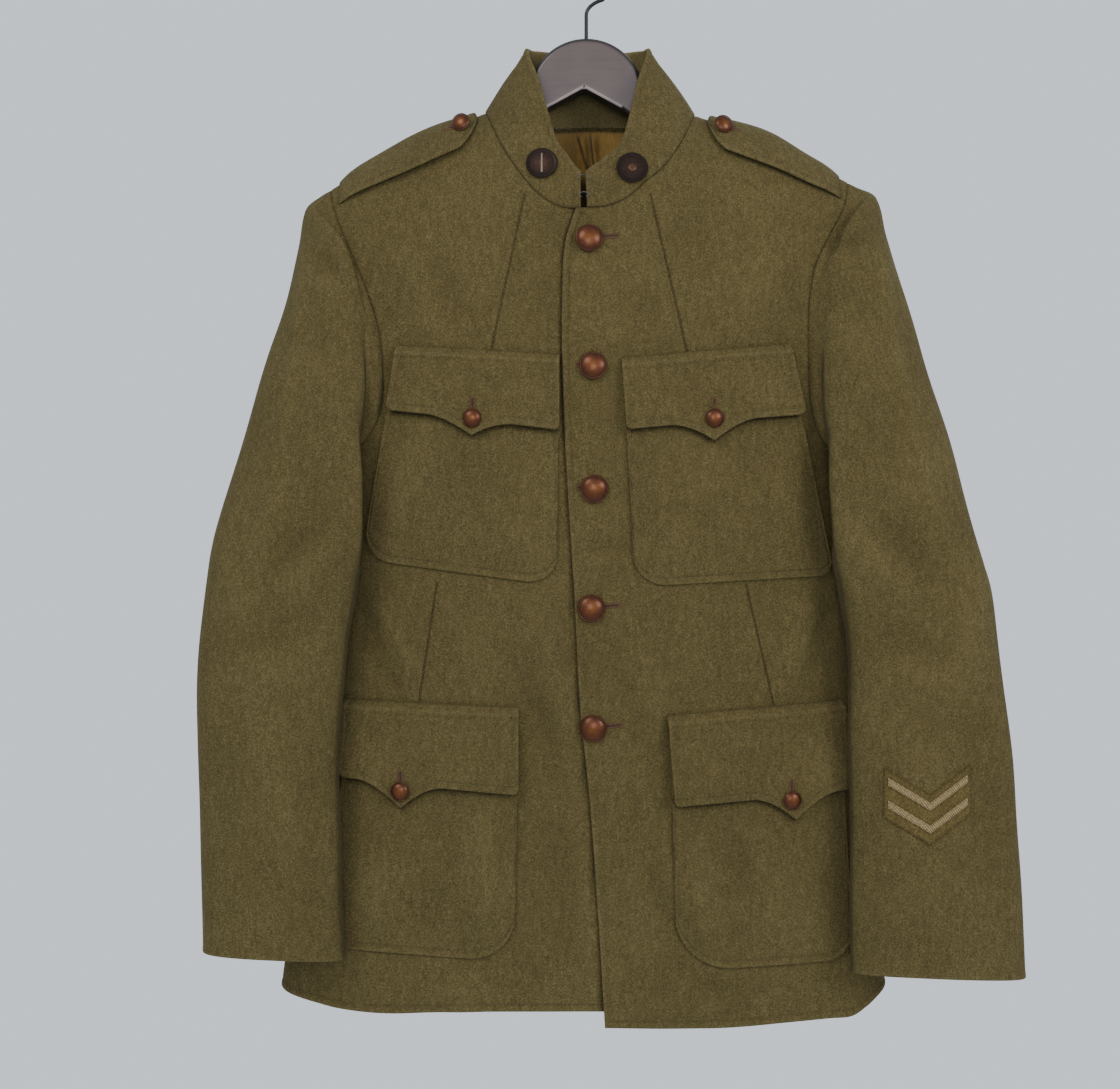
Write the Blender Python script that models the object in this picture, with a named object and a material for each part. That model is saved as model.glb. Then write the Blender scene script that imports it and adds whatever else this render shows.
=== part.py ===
# A military service coat of heavy wool, hung on a wooden hanger.
#
# The coat is built panel by panel, as cut and sewn: every piece of cloth is a thin wall
# with its own thickness. All sizes in the tables are millimetres, seen from the front:
# "across" grows towards the wearer's left, "height" grows upwards, and "front" is -Y.
# The origin is the top of the inside of the hanger's hook, where it hangs on a rail.

import bmesh
import bpy
import numpy as np

MM = 0.001

# Cloth walls and the gaps that keep the pieces apart
CLOTH = 2.0
FLAP_CLOTH = 2.6
STRAP_CLOTH = 3.0
COLLAR_CLOTH = 3.4
LINING_CLOTH = 1.0
PATCH_CLOTH = 1.0
SEAM_GAP = 0.3
LAY_GAP = 0.5
LAP_LIFT = CLOTH + LAY_GAP
SHOULDER_GAP = SEAM_GAP / 2 / 30

# The hollow body: half widths and half depths at each height, and how boxy it is
BODY = {
    "height": (-880, -780, -700, -620, -540, -411, -300, -210, -120),
    "right": (254, 240, 224, 211, 203, 204, 222, 234, 238),
    "left": (247, 239, 228, 220, 215, 210, 224, 236, 240),
    "front": (33, 35, 38, 42, 46, 52, 52, 47, 46),
    "back": (32, 33, 34, 37, 40, 46, 48, 45, 44),
}
BOXINESS = 2.5

# The shoulder line, where front and back meet over the hanger, and the roll below it
SHOULDER = {
    "across": (-245, -209, -180, -150, -120, -82, 0, 88, 120, 150, 180, 214, 250),
    "height": (-214, -192, -174, -158.5, -144.5, -129, -90, -131, -141, -152, -168, -186, -203),
}
SHOULDER_ROLL = 110.0

# Outlines of the panels, (across, height), from the front edge to the shoulder
NECK_RIGHT = ((-4, -213.5), (-20, -212.5), (-36, -204), (-54, -184), (-70, -158), (-82, -129))
NECK_LEFT = ((-1, -213.5), (16, -212), (31, -206), (46, -193), (61, -180), (76, -158), (88, -131))
NECK_BACK = ((-82, -129), (-67, -135.5), (-40, -135), (3, -133), (46, -135), (73, -136.5), (88, -131))
ARMHOLE_FRONT_RIGHT = (
    (-209, -192), (-205, -210), (-192, -243), (-178, -275), (-168, -306),
    (-164, -342), (-167, -378), (-183, -402), (-204, -411),
)
ARMHOLE_FRONT_LEFT = (
    (214, -186), (209, -208), (197, -231), (184, -257), (178.5, -290),
    (178, -330), (181, -372), (192, -400), (210, -411),
)
ARMHOLE_BACK_RIGHT = (
    (-209, -192), (-200, -225), (-189, -265), (-183, -310), (-185, -355), (-193, -393), (-204, -411),
)
ARMHOLE_BACK_LEFT = (
    (214, -186), (205, -218), (194, -260), (188, -308), (190, -355), (198, -393), (210, -411),
)
EDGE_LEFT = {
    "height": (-871, -767, -687, -607, -527, -447, -367, -287, -239, -213.5),
    "across": (14.5, 8, 2, -6, -10, -15, -19, -20, -17, -9),
}
EDGE_RIGHT = {"height": (-858, -690, -440, -209), "across": (42, 36, 24, 24)}

# The hem by the angle around the body, in degrees from the middle of the front
HEM = {
    "angle": (0, 27, 41, 53, 61, 68, 76, 90, 104),
    "right": (-858, -859, -861, -858, -854, -851, -848, -843, -843),
    "left": (-871, -872, -868.5, -866, -865, -858, -850, -842, -842),
}
HEM_BACK = -848.0
SIDE_SEAM_ANGLE = 104.0
ARMPIT_HEIGHT = -411.0
TOP_REACH = 0.66

# Sleeves: outer and inner line, crown depths before and behind, and the lean of the
# front towards the body, one row for each section from the armhole to the cuff
SLEEVE_COLUMNS = ("outer_x", "outer_y", "outer_z", "inner_x", "inner_y", "inner_z", "front", "back", "lean")
SLEEVE_RIGHT = (
    (229, -3, -208, 211, -4, -419, 42, 42, 42),
    (235, -5, -240, 210, -9, -429, 44, 43, 42),
    (244, -9, -282, 207, -17, -443, 44, 43, 40),
    (257, -15, -326, 197, -28, -464, 41, 42, 38),
    (271, -21, -376, 184, -38, -490, 36, 38, 24),
    (288, -28, -436, 185, -43, -520, 31, 33, 8),
    (302, -35, -495, 192, -45, -556, 26, 27, 0),
    (310, -39, -560, 196, -44, -600, 25, 23, 0),
    (311, -42, -640, 199, -44, -660, 24, 21, 0),
    (308.5, -41, -720, 198, -43, -728, 25, 21, 0),
    (306.5, -41, -808, 194, -43, -813, 26, 21, 0),
)
SLEEVE_LEFT = (
    (236, -3, -198, 217, -4, -419, 42, 42, 37),
    (245, -5, -229, 216, -9, -429, 44, 43, 38),
    (256, -9, -272, 213, -17, -443, 44, 43, 36),
    (270, -15, -320, 207, -28, -464, 41, 42, 34),
    (285, -21, -372, 199, -38, -488, 36, 38, 20),
    (302, -28, -436, 203, -43, -520, 31, 33, 8),
    (318, -35, -500, 208, -45, -556, 25, 26, 0),
    (329, -40, -562, 210, -45, -600, 22, 21, 0),
    (338.5, -43, -642, 210.5, -45, -660, 21, 18, 0),
    (345, -43, -724, 211, -45, -730, 20, 17, 0),
    (350.5, -43, -829, 212, -44, -824, 19, 16, 0),
)
SLEEVE_BOXINESS = 0.18
ARMPIT_BEND = 78.0
FLANGE = (9.0, 5.0)
HEAD_CLEARANCE = 0.9
SLEEVE_SEAM_TURN = 0.016

# Where the armhole's points lie, as shares of its real length from the shoulder down to
# the armpit. The sleeve's two seams start at two of them, on the back half.
ARMHOLE_SHARES = (0, 0.02, 0.05, 0.09, 0.15, 0.23, 1 / 3, 0.44, 0.55, 0.66, 0.76, 0.845, 0.92, 1)
HEAD_SHARES = (0, 0.05, 0.15, 0.23, 1 / 3, 0.44, 0.55, 0.66, 0.76, 0.845, 0.92, 1)
BACK_SLEEVE_SEAM = 1 / 3
FRONT_SLEEVE_SEAM = 0.92
SLEEVE_CLEARANCE = {"side": 5.8, "front": 13.0}

# The collar's upper edge for one half, from its front end (0) past the side of the
# neck (1) to the middle of the back (2)
COLLAR_TOP = {
    "way": (0, 0.22, 0.42, 0.6, 0.8, 1.0, 1.35, 1.7, 2.0),
    "across": (1.3, 14, 26, 33, 40, 48.5, 44, 24, 0),
    "depth": (-43, -42, -38, -31, -20, -3, 14, 22, 24),
    "height": (-184, -172, -157, -133, -104, -76, -74, -75, -75),
}
COLLAR_CENTRE = 1.6
COLLAR_FRONT_CENTRE = -3.0

# Shoulder straps, by distance from the middle of the coat. Their edges are angles of the
# shoulder's roll, so the front edge is positive and the back edge negative.
STRAP = {
    "share": (0.0, 0.3, 0.6, 0.85, 1.0),
    "front": (0.47, 0.62, 0.72, 0.72, 0.70),
    "back": (-0.40, -0.42, -0.30, -0.14, -0.06),
    "lift": (0.0, 1.6, 2.8, 1.6, 0.2),
}
STRAP_NEAR = {"right": -88.0, "left": 98.0}
STRAP_END_ROUND = 0.14

# Pocket bags: (across at top, across at bottom) of both sides, heights and corner radii
POCKETS = {
    "upper_right": {"inner": (-23, -23.5), "outer": (-155, -184), "top": (-347, -339),
                    "bottom": (-515, -494), "corner": (26, 24), "puff": 1.6},
    "upper_left": {"inner": (29, 38), "outer": (166, 201), "top": (-351, -338),
                   "bottom": (-516, -507), "corner": (26, 12), "puff": 1.6},
    "lower_right": {"inner": (-55, -58), "outer": (-194, -212), "top": (-631, -625),
                    "bottom": (-818, -808), "corner": (38, 24), "puff": 3.0},
    "lower_left": {"inner": (67, 72), "outer": (205, 217), "top": (-638, -627),
                   "bottom": (-826, -818), "corner": (46, 24), "puff": 3.2},
}
POCKET_CLOTH = 1.8

# Flaps: sides at top and bottom, heights of the top edge, drops at both ends and at the point
FLAPS = {
    "upper_right": {"inner": (-22, -22), "outer": (-152, -158), "top": (-330.5, -322.5),
                    "drop": (61, 52), "point": (-91, 69)},
    "upper_left": {"inner": (27, 30.5), "outer": (162, 172), "top": (-334, -321),
                   "drop": (57, 57), "point": (100, 72)},
    "lower_right": {"inner": (-54.5, -54.5), "outer": (-194, -196.5), "top": (-612, -606.5),
                    "drop": (70, 63), "point": (-148, 85)},
    "lower_left": {"inner": (64, 69.5), "outer": (206, 210), "top": (-618.5, -607.5),
                   "drop": (73, 72), "point": (166, 92)},
}
FLAP_CORNER = 5.0
FLAP_SCOOP = 34.0
FLAP_STAND = 2.6

# Buttons and badges: (across, height) of their middles
FRONT_BUTTONS = ((1.6, -238.6), (4.8, -340.2), (5.6, -437.8), (3.2, -533.0), (4.8, -629.0))
FRONT_BUTTON_RADIUS = 11.1
POCKET_BUTTON_RADIUS = 7.6
STRAP_BUTTON_RADIUS = 7.8
POCKET_BUTTONS = {
    "upper_right": (-90.4, -381.8), "upper_left": (100, -381.8),
    "lower_right": (-148, -679.4), "lower_left": (162.4, -686.6),
}
DISCS = {"right": (-36, -178), "left": (36, -182)}
DISC_RADIUS = 12.7

# Service chevrons: the two arms of a V, seen from the front on the left sleeve
CHEVRON_TIP = (270.5, -707.0)
CHEVRON_ARMS = ((-32.5, 19.5), (29.5, 22.0))
CHEVRON_TAPE = 7.0
CHEVRON_PITCH = 18.0
BACKING_MARGIN = 6.5

# Half lining at the back neck
LINING_SIDES = (-58.0, 64.0)
LINING_FOOT = -290.0
LINING_PLEAT = 3.5
LINING_GAP = 1.9

# Hanger
HANGER_THICK = 13.0
HANGER_ROUND = 4.0
HANGER_SEAT = 2.9
HUMP_RADIUS = 47.0
HUMP_TOP = -67.3
NOTCH = (-1.8, -108.8)
NOTCH_SLOPE = 0.545
ARM_END = {"right": -196.0, "left": 203.0}
ARM_HEIGHT = (30.0, 20.0)
HOOK_WIRE = 1.6
HOOK_INSIDE = 19.0
HOOK_BEND_HEIGHT = -48.0

COLOURS = {
    "wool": ((0.115, 0.083, 0.030), 0.92, 0.0),
    "lining": ((0.240, 0.140, 0.035), 0.60, 0.0),
    "bronze": ((0.230, 0.080, 0.030), 0.38, 0.9),
    "dark_bronze": ((0.030, 0.020, 0.014), 0.45, 0.9),
    "steel": ((0.350, 0.340, 0.330), 0.35, 1.0),
    "tape": ((0.300, 0.210, 0.100), 0.90, 0.0),
    "wood": ((0.045, 0.022, 0.018), 0.35, 0.0),
    "black_wire": ((0.010, 0.010, 0.011), 0.35, 0.9),
}


def hermite(stations, values, at):
    """Smooth curve through (stations, values), read at any places."""
    stations = np.asarray(stations, float)
    values = np.asarray(values, float)
    at = np.clip(np.asarray(at, float), stations[0], stations[-1])
    steps = np.diff(stations)
    rises = np.diff(values, axis=0) / steps.reshape((-1,) + (1,) * (values.ndim - 1))
    tangents = np.concatenate([rises[:1], 0.5 * (rises[:-1] + rises[1:]), rises[-1:]])
    i = np.clip(np.searchsorted(stations, at, side="right") - 1, 0, len(steps) - 1)
    t = (at - stations[i]) / steps[i]
    span = steps[i]
    if values.ndim > 1:
        t = t[..., None]
        span = span[..., None]
    a = 2 * t**3 - 3 * t**2 + 1
    b = t**3 - 2 * t**2 + t
    c = -2 * t**3 + 3 * t**2
    d = t**3 - t**2
    return a * values[i] + b * span * tangents[i] + c * values[i + 1] + d * span * tangents[i + 1]


def outline(points, shares):
    """Places along a line through points, by the share of its length."""
    points = np.asarray(points, float)
    lengths = np.concatenate([[0], np.cumsum(np.linalg.norm(np.diff(points, axis=0), axis=1))])
    return hermite(lengths / lengths[-1], points, shares)


def smoothstep(low, high, x):
    t = np.clip((np.asarray(x, float) - low) / (high - low), 0, 1)
    return t * t * (3 - 2 * t)


def half_width(height, across_sign):
    left = hermite(BODY["height"], BODY["left"], height)
    right = hermite(BODY["height"], BODY["right"], height)
    return np.where(across_sign >= 0, left, right)


def shoulder_height(across):
    return hermite(SHOULDER["across"], SHOULDER["height"], across)


def drop_of(roll):
    """Drop below the shoulder line for an angle of the roll."""
    roll = np.abs(roll)
    rounded = SHOULDER_ROLL * (1 - np.cos(np.minimum(roll, np.pi / 2)))
    return rounded + SHOULDER_ROLL * np.maximum(roll - np.pi / 2, 0)


def roll_of(drop):
    drop = np.maximum(drop, 0)
    rounded = np.arccos(np.clip(1 - drop / SHOULDER_ROLL, 0, 1))
    return np.where(drop < SHOULDER_ROLL, rounded, np.pi / 2 + (drop - SHOULDER_ROLL) / SHOULDER_ROLL)


def skin(angle, roll):
    """A point of the body's cloth, by the angle around it and the roll over the shoulder."""
    angle, roll = np.broadcast_arrays(np.asarray(angle, float), np.asarray(roll, float))
    swing = np.sin(angle)
    height = np.full(angle.shape, -300.0)
    for _ in range(10):
        across = half_width(height, swing) * swing
        height = shoulder_height(across) - drop_of(roll)
    front = hermite(BODY["height"], BODY["front"], height)
    back = hermite(BODY["height"], BODY["back"], height)
    facing = np.sign(np.cos(angle)) * np.where(roll < 0, -1.0, 1.0)
    depth = np.where(facing >= 0, front, back)
    fullness = np.maximum(1 - np.abs(swing) ** BOXINESS, 0) ** (1 / BOXINESS)
    swell = np.sin(np.minimum(np.abs(roll), np.pi / 2))
    return np.stack([across, -facing * depth * fullness * swell, height], axis=-1)


def numeric_normal(surface, u, v, step=1e-3):
    """Unit normal of a surface by small steps, for any shape of u and v."""
    du = surface(u + step, v) - surface(u - step, v)
    dv = surface(u, v + step) - surface(u, v - step)
    normal = np.cross(du, dv)
    return normal / np.maximum(np.linalg.norm(normal, axis=-1, keepdims=True), 1e-12)


def body_normal(angle, roll):
    return -numeric_normal(skin, angle, roll)


def to_body(across, height):
    """Angle and roll of a point seen on the front."""
    across = np.asarray(across, float)
    height = np.asarray(height, float)
    share = np.clip(across / half_width(height, across), -1, 1)
    return np.arcsin(share), roll_of(shoulder_height(across) - height)


def lap(across, side):
    """How far the left front stands out where it laps over the right one."""
    if side != "left":
        return np.zeros(np.shape(across))
    return LAP_LIFT * (1 - smoothstep(48, 92, across))


def front_layer(across, height, out, side):
    """Points on a front, moved out along its normal."""
    angle, roll = to_body(across, height)
    lift = out + lap(across, side)
    return skin(angle, roll) + body_normal(angle, roll) * np.asarray(lift)[..., None]


def panel_grid(bottom, top, first, last, rises):
    """Grid between four border lines, (n, 2) along the width and (m, 2) up the sides."""
    u = np.linspace(0, 1, len(bottom))[:, None, None]
    v = np.asarray(rises)[None, :, None]
    ruled = (1 - u) * first[None] + u * last[None]
    top_extra = top[:, None] - ((1 - u) * top[0] + u * top[-1])
    bottom_extra = bottom[:, None] - ((1 - u) * bottom[0] + u * bottom[-1])
    near_top = np.clip((v - TOP_REACH) / (1 - TOP_REACH), 0, 1) ** 1.4
    near_bottom = np.clip(1 - v / (1 - TOP_REACH), 0, 1) ** 1.4
    return ruled + near_top * top_extra + near_bottom * bottom_extra


def armhole_half(points, behind):
    """Angle and roll along one half of an armhole, with the share of its real length."""
    place = outline(points, np.linspace(0, 1, 400) ** 1.5)
    angle, roll = to_body(place[:, 0], place[:, 1])
    if behind:
        angle = np.sign(angle) * (np.pi - np.abs(angle))
    steps = np.linalg.norm(np.diff(skin(angle, roll), axis=0), axis=1)
    length = np.concatenate([[0], np.cumsum(steps)])
    return length / length[-1], angle, roll


ARMHOLES = {
    "left": (armhole_half(ARMHOLE_FRONT_LEFT, False), armhole_half(ARMHOLE_BACK_LEFT, True)),
    "right": (armhole_half(ARMHOLE_FRONT_RIGHT, False), armhole_half(ARMHOLE_BACK_RIGHT, True)),
}


def make_object(name, vertices, faces, finish, smooth=True):
    mesh = bpy.data.meshes.new(name)
    mesh.from_pydata([tuple(float(c) * MM for c in p) for p in vertices], [], faces)
    mesh.validate()
    tidy = bmesh.new()
    tidy.from_mesh(mesh)
    bmesh.ops.recalc_face_normals(tidy, faces=tidy.faces)
    tidy.to_mesh(mesh)
    tidy.free()
    if smooth:
        mesh.shade_smooth()
        mesh.set_sharp_from_angle(angle=np.radians(40))
    piece = bpy.data.objects.new(name, mesh)
    bpy.context.scene.collection.objects.link(piece)
    dress(piece, finish)
    return piece


def dress(piece, finish):
    """Give an object its own material."""
    colour, roughness, metallic = COLOURS[finish]
    material = bpy.data.materials.new(piece.name + "_" + finish)
    material.use_nodes = True
    shader = material.node_tree.nodes["Principled BSDF"]
    shader.inputs["Base Color"].default_value = (*colour, 1)
    shader.inputs["Roughness"].default_value = roughness
    shader.inputs["Metallic"].default_value = metallic
    piece.data.materials.clear()
    piece.data.materials.append(material)


def wall(name, inner, outer, finish):
    """Closed wall between two grids of points of the same shape."""
    rows, columns = inner.shape[:2]
    count = rows * columns
    vertices = np.concatenate([inner.reshape(-1, 3), outer.reshape(-1, 3)])
    number = np.arange(count).reshape(rows, columns)
    faces = []
    for i in range(rows - 1):
        for j in range(columns - 1):
            quad = (number[i, j], number[i + 1, j], number[i + 1, j + 1], number[i, j + 1])
            faces.append(tuple(int(k) for k in quad))
            faces.append(tuple(int(k) + count for k in reversed(quad)))
    border = list(number[:, 0]) + list(number[-1, 1:]) + list(number[-2::-1, -1]) + list(number[0, -2:0:-1])
    for a, b in zip(border, border[1:] + border[:1]):
        faces.append((int(b), int(a), int(a) + count, int(b) + count))
    return make_object(name, vertices, faces, finish)


def body_panel(name, grid, side=None):
    """Cloth of the body from a grid of (angle, roll)."""
    angle = grid[..., 0]
    roll = grid[..., 1]
    middle = skin(angle, roll)
    normal = body_normal(angle, roll)
    lift = lap(middle[..., 0], side)[..., None]
    return wall(name, middle + normal * (lift - CLOTH / 2), middle + normal * (lift + CLOTH / 2), "wool")


def seam_side(side):
    """Angle and height of the side seam from the hem to the armpit."""
    share = np.linspace(0, 1, 12)
    angle = np.radians(SIDE_SEAM_ANGLE) + (np.pi / 2 - np.radians(SIDE_SEAM_ANGLE)) * smoothstep(0.45, 1.0, share)
    height = HEM[side][-1] + (ARMPIT_HEIGHT - HEM[side][-1]) * share
    sign = 1 if side == "left" else -1
    across = half_width(height, sign) * np.sin(angle) * sign
    return np.stack([angle * sign, roll_of(shoulder_height(across) - height)], axis=-1)


def armhole_line(side, behind):
    """The armhole from the armpit up to the shoulder, as angle and roll."""
    share, angle, roll = ARMHOLES[side][1 if behind else 0]
    at = np.array(ARMHOLE_SHARES)[::-1]
    return np.stack([np.interp(at, share, angle), np.interp(at, share, roll)], axis=-1)


def length_shares(line):
    """Share of the real length along a border line."""
    steps = np.linalg.norm(np.diff(skin(line[:, 0], line[:, 1]), axis=0), axis=1)
    length = np.concatenate([[0], np.cumsum(steps)])
    return length / length[-1]


def neck_and_shoulder(neck, shoulder_end, neck_steps, shoulder_steps):
    """Neckline, then the shoulder seam out to the armhole, as angle and roll."""
    along_neck = outline(neck, np.linspace(0, 1, neck_steps + 1))
    across = np.linspace(neck[-1][0], shoulder_end, shoulder_steps + 1)[1:]
    place = np.concatenate([along_neck, np.stack([across, shoulder_height(across)], axis=-1)])
    angle, roll = to_body(place[:, 0], place[:, 1])
    roll[neck_steps:] = 0
    return np.stack([angle, roll], axis=-1)


def build_front(side):
    sign = 1 if side == "left" else -1
    neck_steps = 8
    shoulder_steps = 5
    neck = NECK_LEFT if side == "left" else NECK_RIGHT
    armhole = ARMHOLE_FRONT_LEFT if side == "left" else ARMHOLE_FRONT_RIGHT
    edge = EDGE_LEFT if side == "left" else EDGE_RIGHT
    edge_top_x = edge["across"][-1]

    # The neckline of the right front runs on under the lap
    if side == "right":
        neck = ((edge_top_x, -212.0), (10, -213.5)) + neck[1:]
    else:
        neck = ((edge_top_x, -213.5),) + neck[1:]

    hem_angle_0 = np.arcsin(edge["across"][0] / half_width(HEM[side][0], edge["across"][0]))
    hem_angle = np.linspace(hem_angle_0, sign * np.radians(SIDE_SEAM_ANGLE), neck_steps + shoulder_steps + 1)
    hem_height = hermite(HEM["angle"], HEM[side], np.abs(np.degrees(hem_angle)))
    hem_across = half_width(hem_height, sign) * np.sin(hem_angle)
    bottom = np.stack([hem_angle, roll_of(shoulder_height(hem_across) - hem_height)], axis=-1)

    top = neck_and_shoulder(neck, armhole[0][0], neck_steps, shoulder_steps)
    top[:, 1] = np.maximum(top[:, 1], SHOULDER_GAP)

    seam = seam_side(side)
    seam[:, 0] -= sign * SEAM_GAP / 2 / 60
    arm = armhole_line(side, False)
    arm[-1, 1] = SHOULDER_GAP
    last = np.concatenate([seam, arm[1:]])
    rises = length_shares(last)

    edge_height = hem_height[0] + (neck[0][1] - hem_height[0]) * rises
    angle, roll = to_body(hermite(edge["height"], edge["across"], edge_height), edge_height)
    first = np.stack([angle, roll], axis=-1)
    first[0] = bottom[0]
    first[-1] = top[0]
    bottom[-1] = last[0]
    top[-1] = last[-1]
    body_panel("front_" + side, panel_grid(bottom, top, first, last, rises), side)


def build_back():
    across_count = 21
    start = np.radians(SIDE_SEAM_ANGLE)
    angle = np.linspace(start, 2 * np.pi - start, across_count)
    from_middle = np.abs(np.degrees(angle) - 180) / (180 - SIDE_SEAM_ANGLE)
    height = HEM_BACK + (HEM["left"][-1] - HEM_BACK) * from_middle**2
    across = half_width(height, np.sin(angle)) * np.sin(angle)
    bottom = np.stack([angle, roll_of(shoulder_height(across) - height)], axis=-1)

    def back_angle(place):
        front_angle, roll = to_body(place[:, 0], place[:, 1])
        return np.stack([np.pi - front_angle, roll], axis=-1)

    left_x = ARMHOLE_BACK_LEFT[0][0]
    right_x = ARMHOLE_BACK_RIGHT[0][0]
    neck = outline(NECK_BACK[::-1], np.linspace(0, 1, 9))
    left = np.linspace(left_x, NECK_BACK[-1][0], 7)[:-1]
    right = np.linspace(NECK_BACK[0][0], right_x, 7)[1:]
    place = np.concatenate([
        np.stack([left, shoulder_height(left)], axis=-1),
        neck,
        np.stack([right, shoulder_height(right)], axis=-1),
    ])
    top = back_angle(place)
    top[:, 1] = np.maximum(top[:, 1], SHOULDER_GAP)

    sides = []
    for side, sign in (("left", 1), ("right", -1)):
        seam = seam_side(side)
        seam[:, 0] += sign * SEAM_GAP / 2 / 60
        arm = armhole_line(side, True)
        arm[-1, 1] = SHOULDER_GAP
        line = np.concatenate([seam, arm[1:]])
        if sign < 0:
            line[:, 0] += 2 * np.pi
        sides.append(line)
    bottom[0] = sides[0][0]
    bottom[-1] = sides[1][0]
    top[0] = sides[0][-1]
    top[-1] = sides[1][-1]
    rises = length_shares(sides[0])
    body_panel("back", panel_grid(bottom, top, sides[0], sides[1], rises))


def armhole_place(side, turn):
    """Angle and roll of the armhole by the turn around the sleeve, from the shoulder point."""
    turn = np.mod(turn, 2 * np.pi)
    front, back = ARMHOLES[side]
    share = np.where(turn <= np.pi, turn, 2 * np.pi - turn) / np.pi
    angle = np.where(turn <= np.pi, np.interp(share, front[0], front[1]), np.interp(share, back[0], back[1]))
    roll = np.where(turn <= np.pi, np.interp(share, front[0], front[2]), np.interp(share, back[0], back[2]))
    return angle, roll


def armhole_sections(side, turn):
    """The sleeve's first two sections: at the armhole seam, and a short way out of it."""
    sign = 1 if side == "left" else -1
    step = 0.02
    ring = skin(*armhole_place(side, turn))
    along = skin(*armhole_place(side, turn + step)) - skin(*armhole_place(side, turn - step))
    along = along / np.linalg.norm(along, axis=-1, keepdims=True)
    normal = body_normal(*armhole_place(side, turn))
    away = sign * np.cross(normal, along)
    bend = np.radians(ARMPIT_BEND) * np.sin(turn / 2) ** 1.2
    clear = SEAM_GAP + 0.15 + 1.1 * CLOTH / 2 * np.sin(bend) + HEAD_CLEARANCE * np.cos(turn / 2) ** 8
    start = ring + away * clear[..., None]
    leave = away * np.cos(bend)[..., None] + normal * np.sin(bend)[..., None]
    reach = FLANGE[0] + (FLANGE[1] - FLANGE[0]) * np.sin(turn / 2) ** 2
    return start, start + leave * reach[..., None]


def sleeve(side, turn, station):
    """A point of the sleeve's cloth. Station 0 is the armhole and the last is the cuff."""
    turn, station = np.broadcast_arrays(np.asarray(turn, float), np.asarray(station, float))
    sign = 1 if side == "left" else -1
    table = SLEEVE_LEFT if side == "left" else SLEEVE_RIGHT
    cosine = np.cos(turn) * (1 + SLEEVE_BOXINESS * np.sin(turn) ** 2)
    sine = np.sin(turn) * (1 + SLEEVE_BOXINESS * np.cos(turn) ** 2)
    sections = list(armhole_sections(side, np.mod(turn, 2 * np.pi)))
    for row in table:
        size = dict(zip(SLEEVE_COLUMNS, row))
        outer = np.array((sign * size["outer_x"], size["outer_y"], size["outer_z"]))
        inner = np.array((sign * size["inner_x"], size["inner_y"], size["inner_z"]))
        point = (outer + inner) / 2 + (outer - inner) / 2 * cosine[..., None]
        lean = np.where(sine > 0, size["lean"], 0.4 * size["lean"]) * sine**2
        depth = np.where(sine > 0, size["front"], size["back"]) * sine
        point = point + np.stack([-sign * lean, -depth, np.zeros_like(depth)], axis=-1)
        sections.append(clear_of_body(point, sign))
    sections = np.stack(sections)
    last = len(sections) - 1
    i = np.clip(np.floor(station).astype(int), 0, last - 1)
    t = (np.clip(station, 0, last) - i)[..., None]

    def pick(k):
        k = np.clip(k, 0, last)
        return np.take_along_axis(sections, np.broadcast_to(k, turn.shape)[None, ..., None], axis=0)[0]

    before, a, b, after = pick(i - 1), pick(i), pick(i + 1), pick(i + 2)
    gap = np.linalg.norm(b - a, axis=-1, keepdims=True)
    gap_before = np.maximum(np.linalg.norm(a - before, axis=-1, keepdims=True), 1e-6)
    gap_after = np.maximum(np.linalg.norm(after - b, axis=-1, keepdims=True), 1e-6)
    leave = np.where(gap_before > 1e-5, (b - before) * gap / (gap + gap_before), b - a)
    arrive = np.where(gap_after > 1e-5, (after - a) * gap / (gap + gap_after), b - a)
    return (
        (2 * t**3 - 3 * t**2 + 1) * a + (t**3 - 2 * t**2 + t) * leave
        + (-2 * t**3 + 3 * t**2) * b + (t**3 - t**2) * arrive
    )


def clear_of_body(point, sign):
    """Move the sleeve's points outwards until they lie clear of the body below the armpit."""
    height = point[..., 2]
    width = half_width(height, sign) + SLEEVE_CLEARANCE["side"]
    depth = hermite(BODY["height"], BODY["front"], height) + SLEEVE_CLEARANCE["front"]
    from_x = 0.84 * width
    reach_x = np.abs(point[..., 0]) - from_x
    reach_y = point[..., 1]

    def boxed(scale):
        share_x = np.abs(from_x + reach_x * scale) / width
        return share_x**BOXINESS + np.abs(reach_y * scale / depth) ** BOXINESS

    low = np.ones(height.shape)
    high = np.full(height.shape, 12.0)
    for _ in range(24):
        middle = (low + high) / 2
        inside = boxed(middle) < 1
        low = np.where(inside, middle, low)
        high = np.where(inside, high, middle)
    scale = np.where(boxed(1.0) < 1, high, 1.0)
    below = smoothstep(-396, -410, height)
    scale = 1 + (scale - 1) * below
    moved = point.copy()
    moved[..., 0] = sign * (from_x + reach_x * scale)
    moved[..., 1] = reach_y * scale
    return moved


def sleeve_layer(side, turn, station, out):
    """Points on a sleeve, moved out along its normal."""
    def surface(u, v):
        return sleeve(side, u, v)
    normal = numeric_normal(surface, turn, station, 2e-2)
    sign = 1 if side == "left" else -1
    return sleeve(side, turn, station) + normal * sign * np.asarray(out)[..., None]


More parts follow.
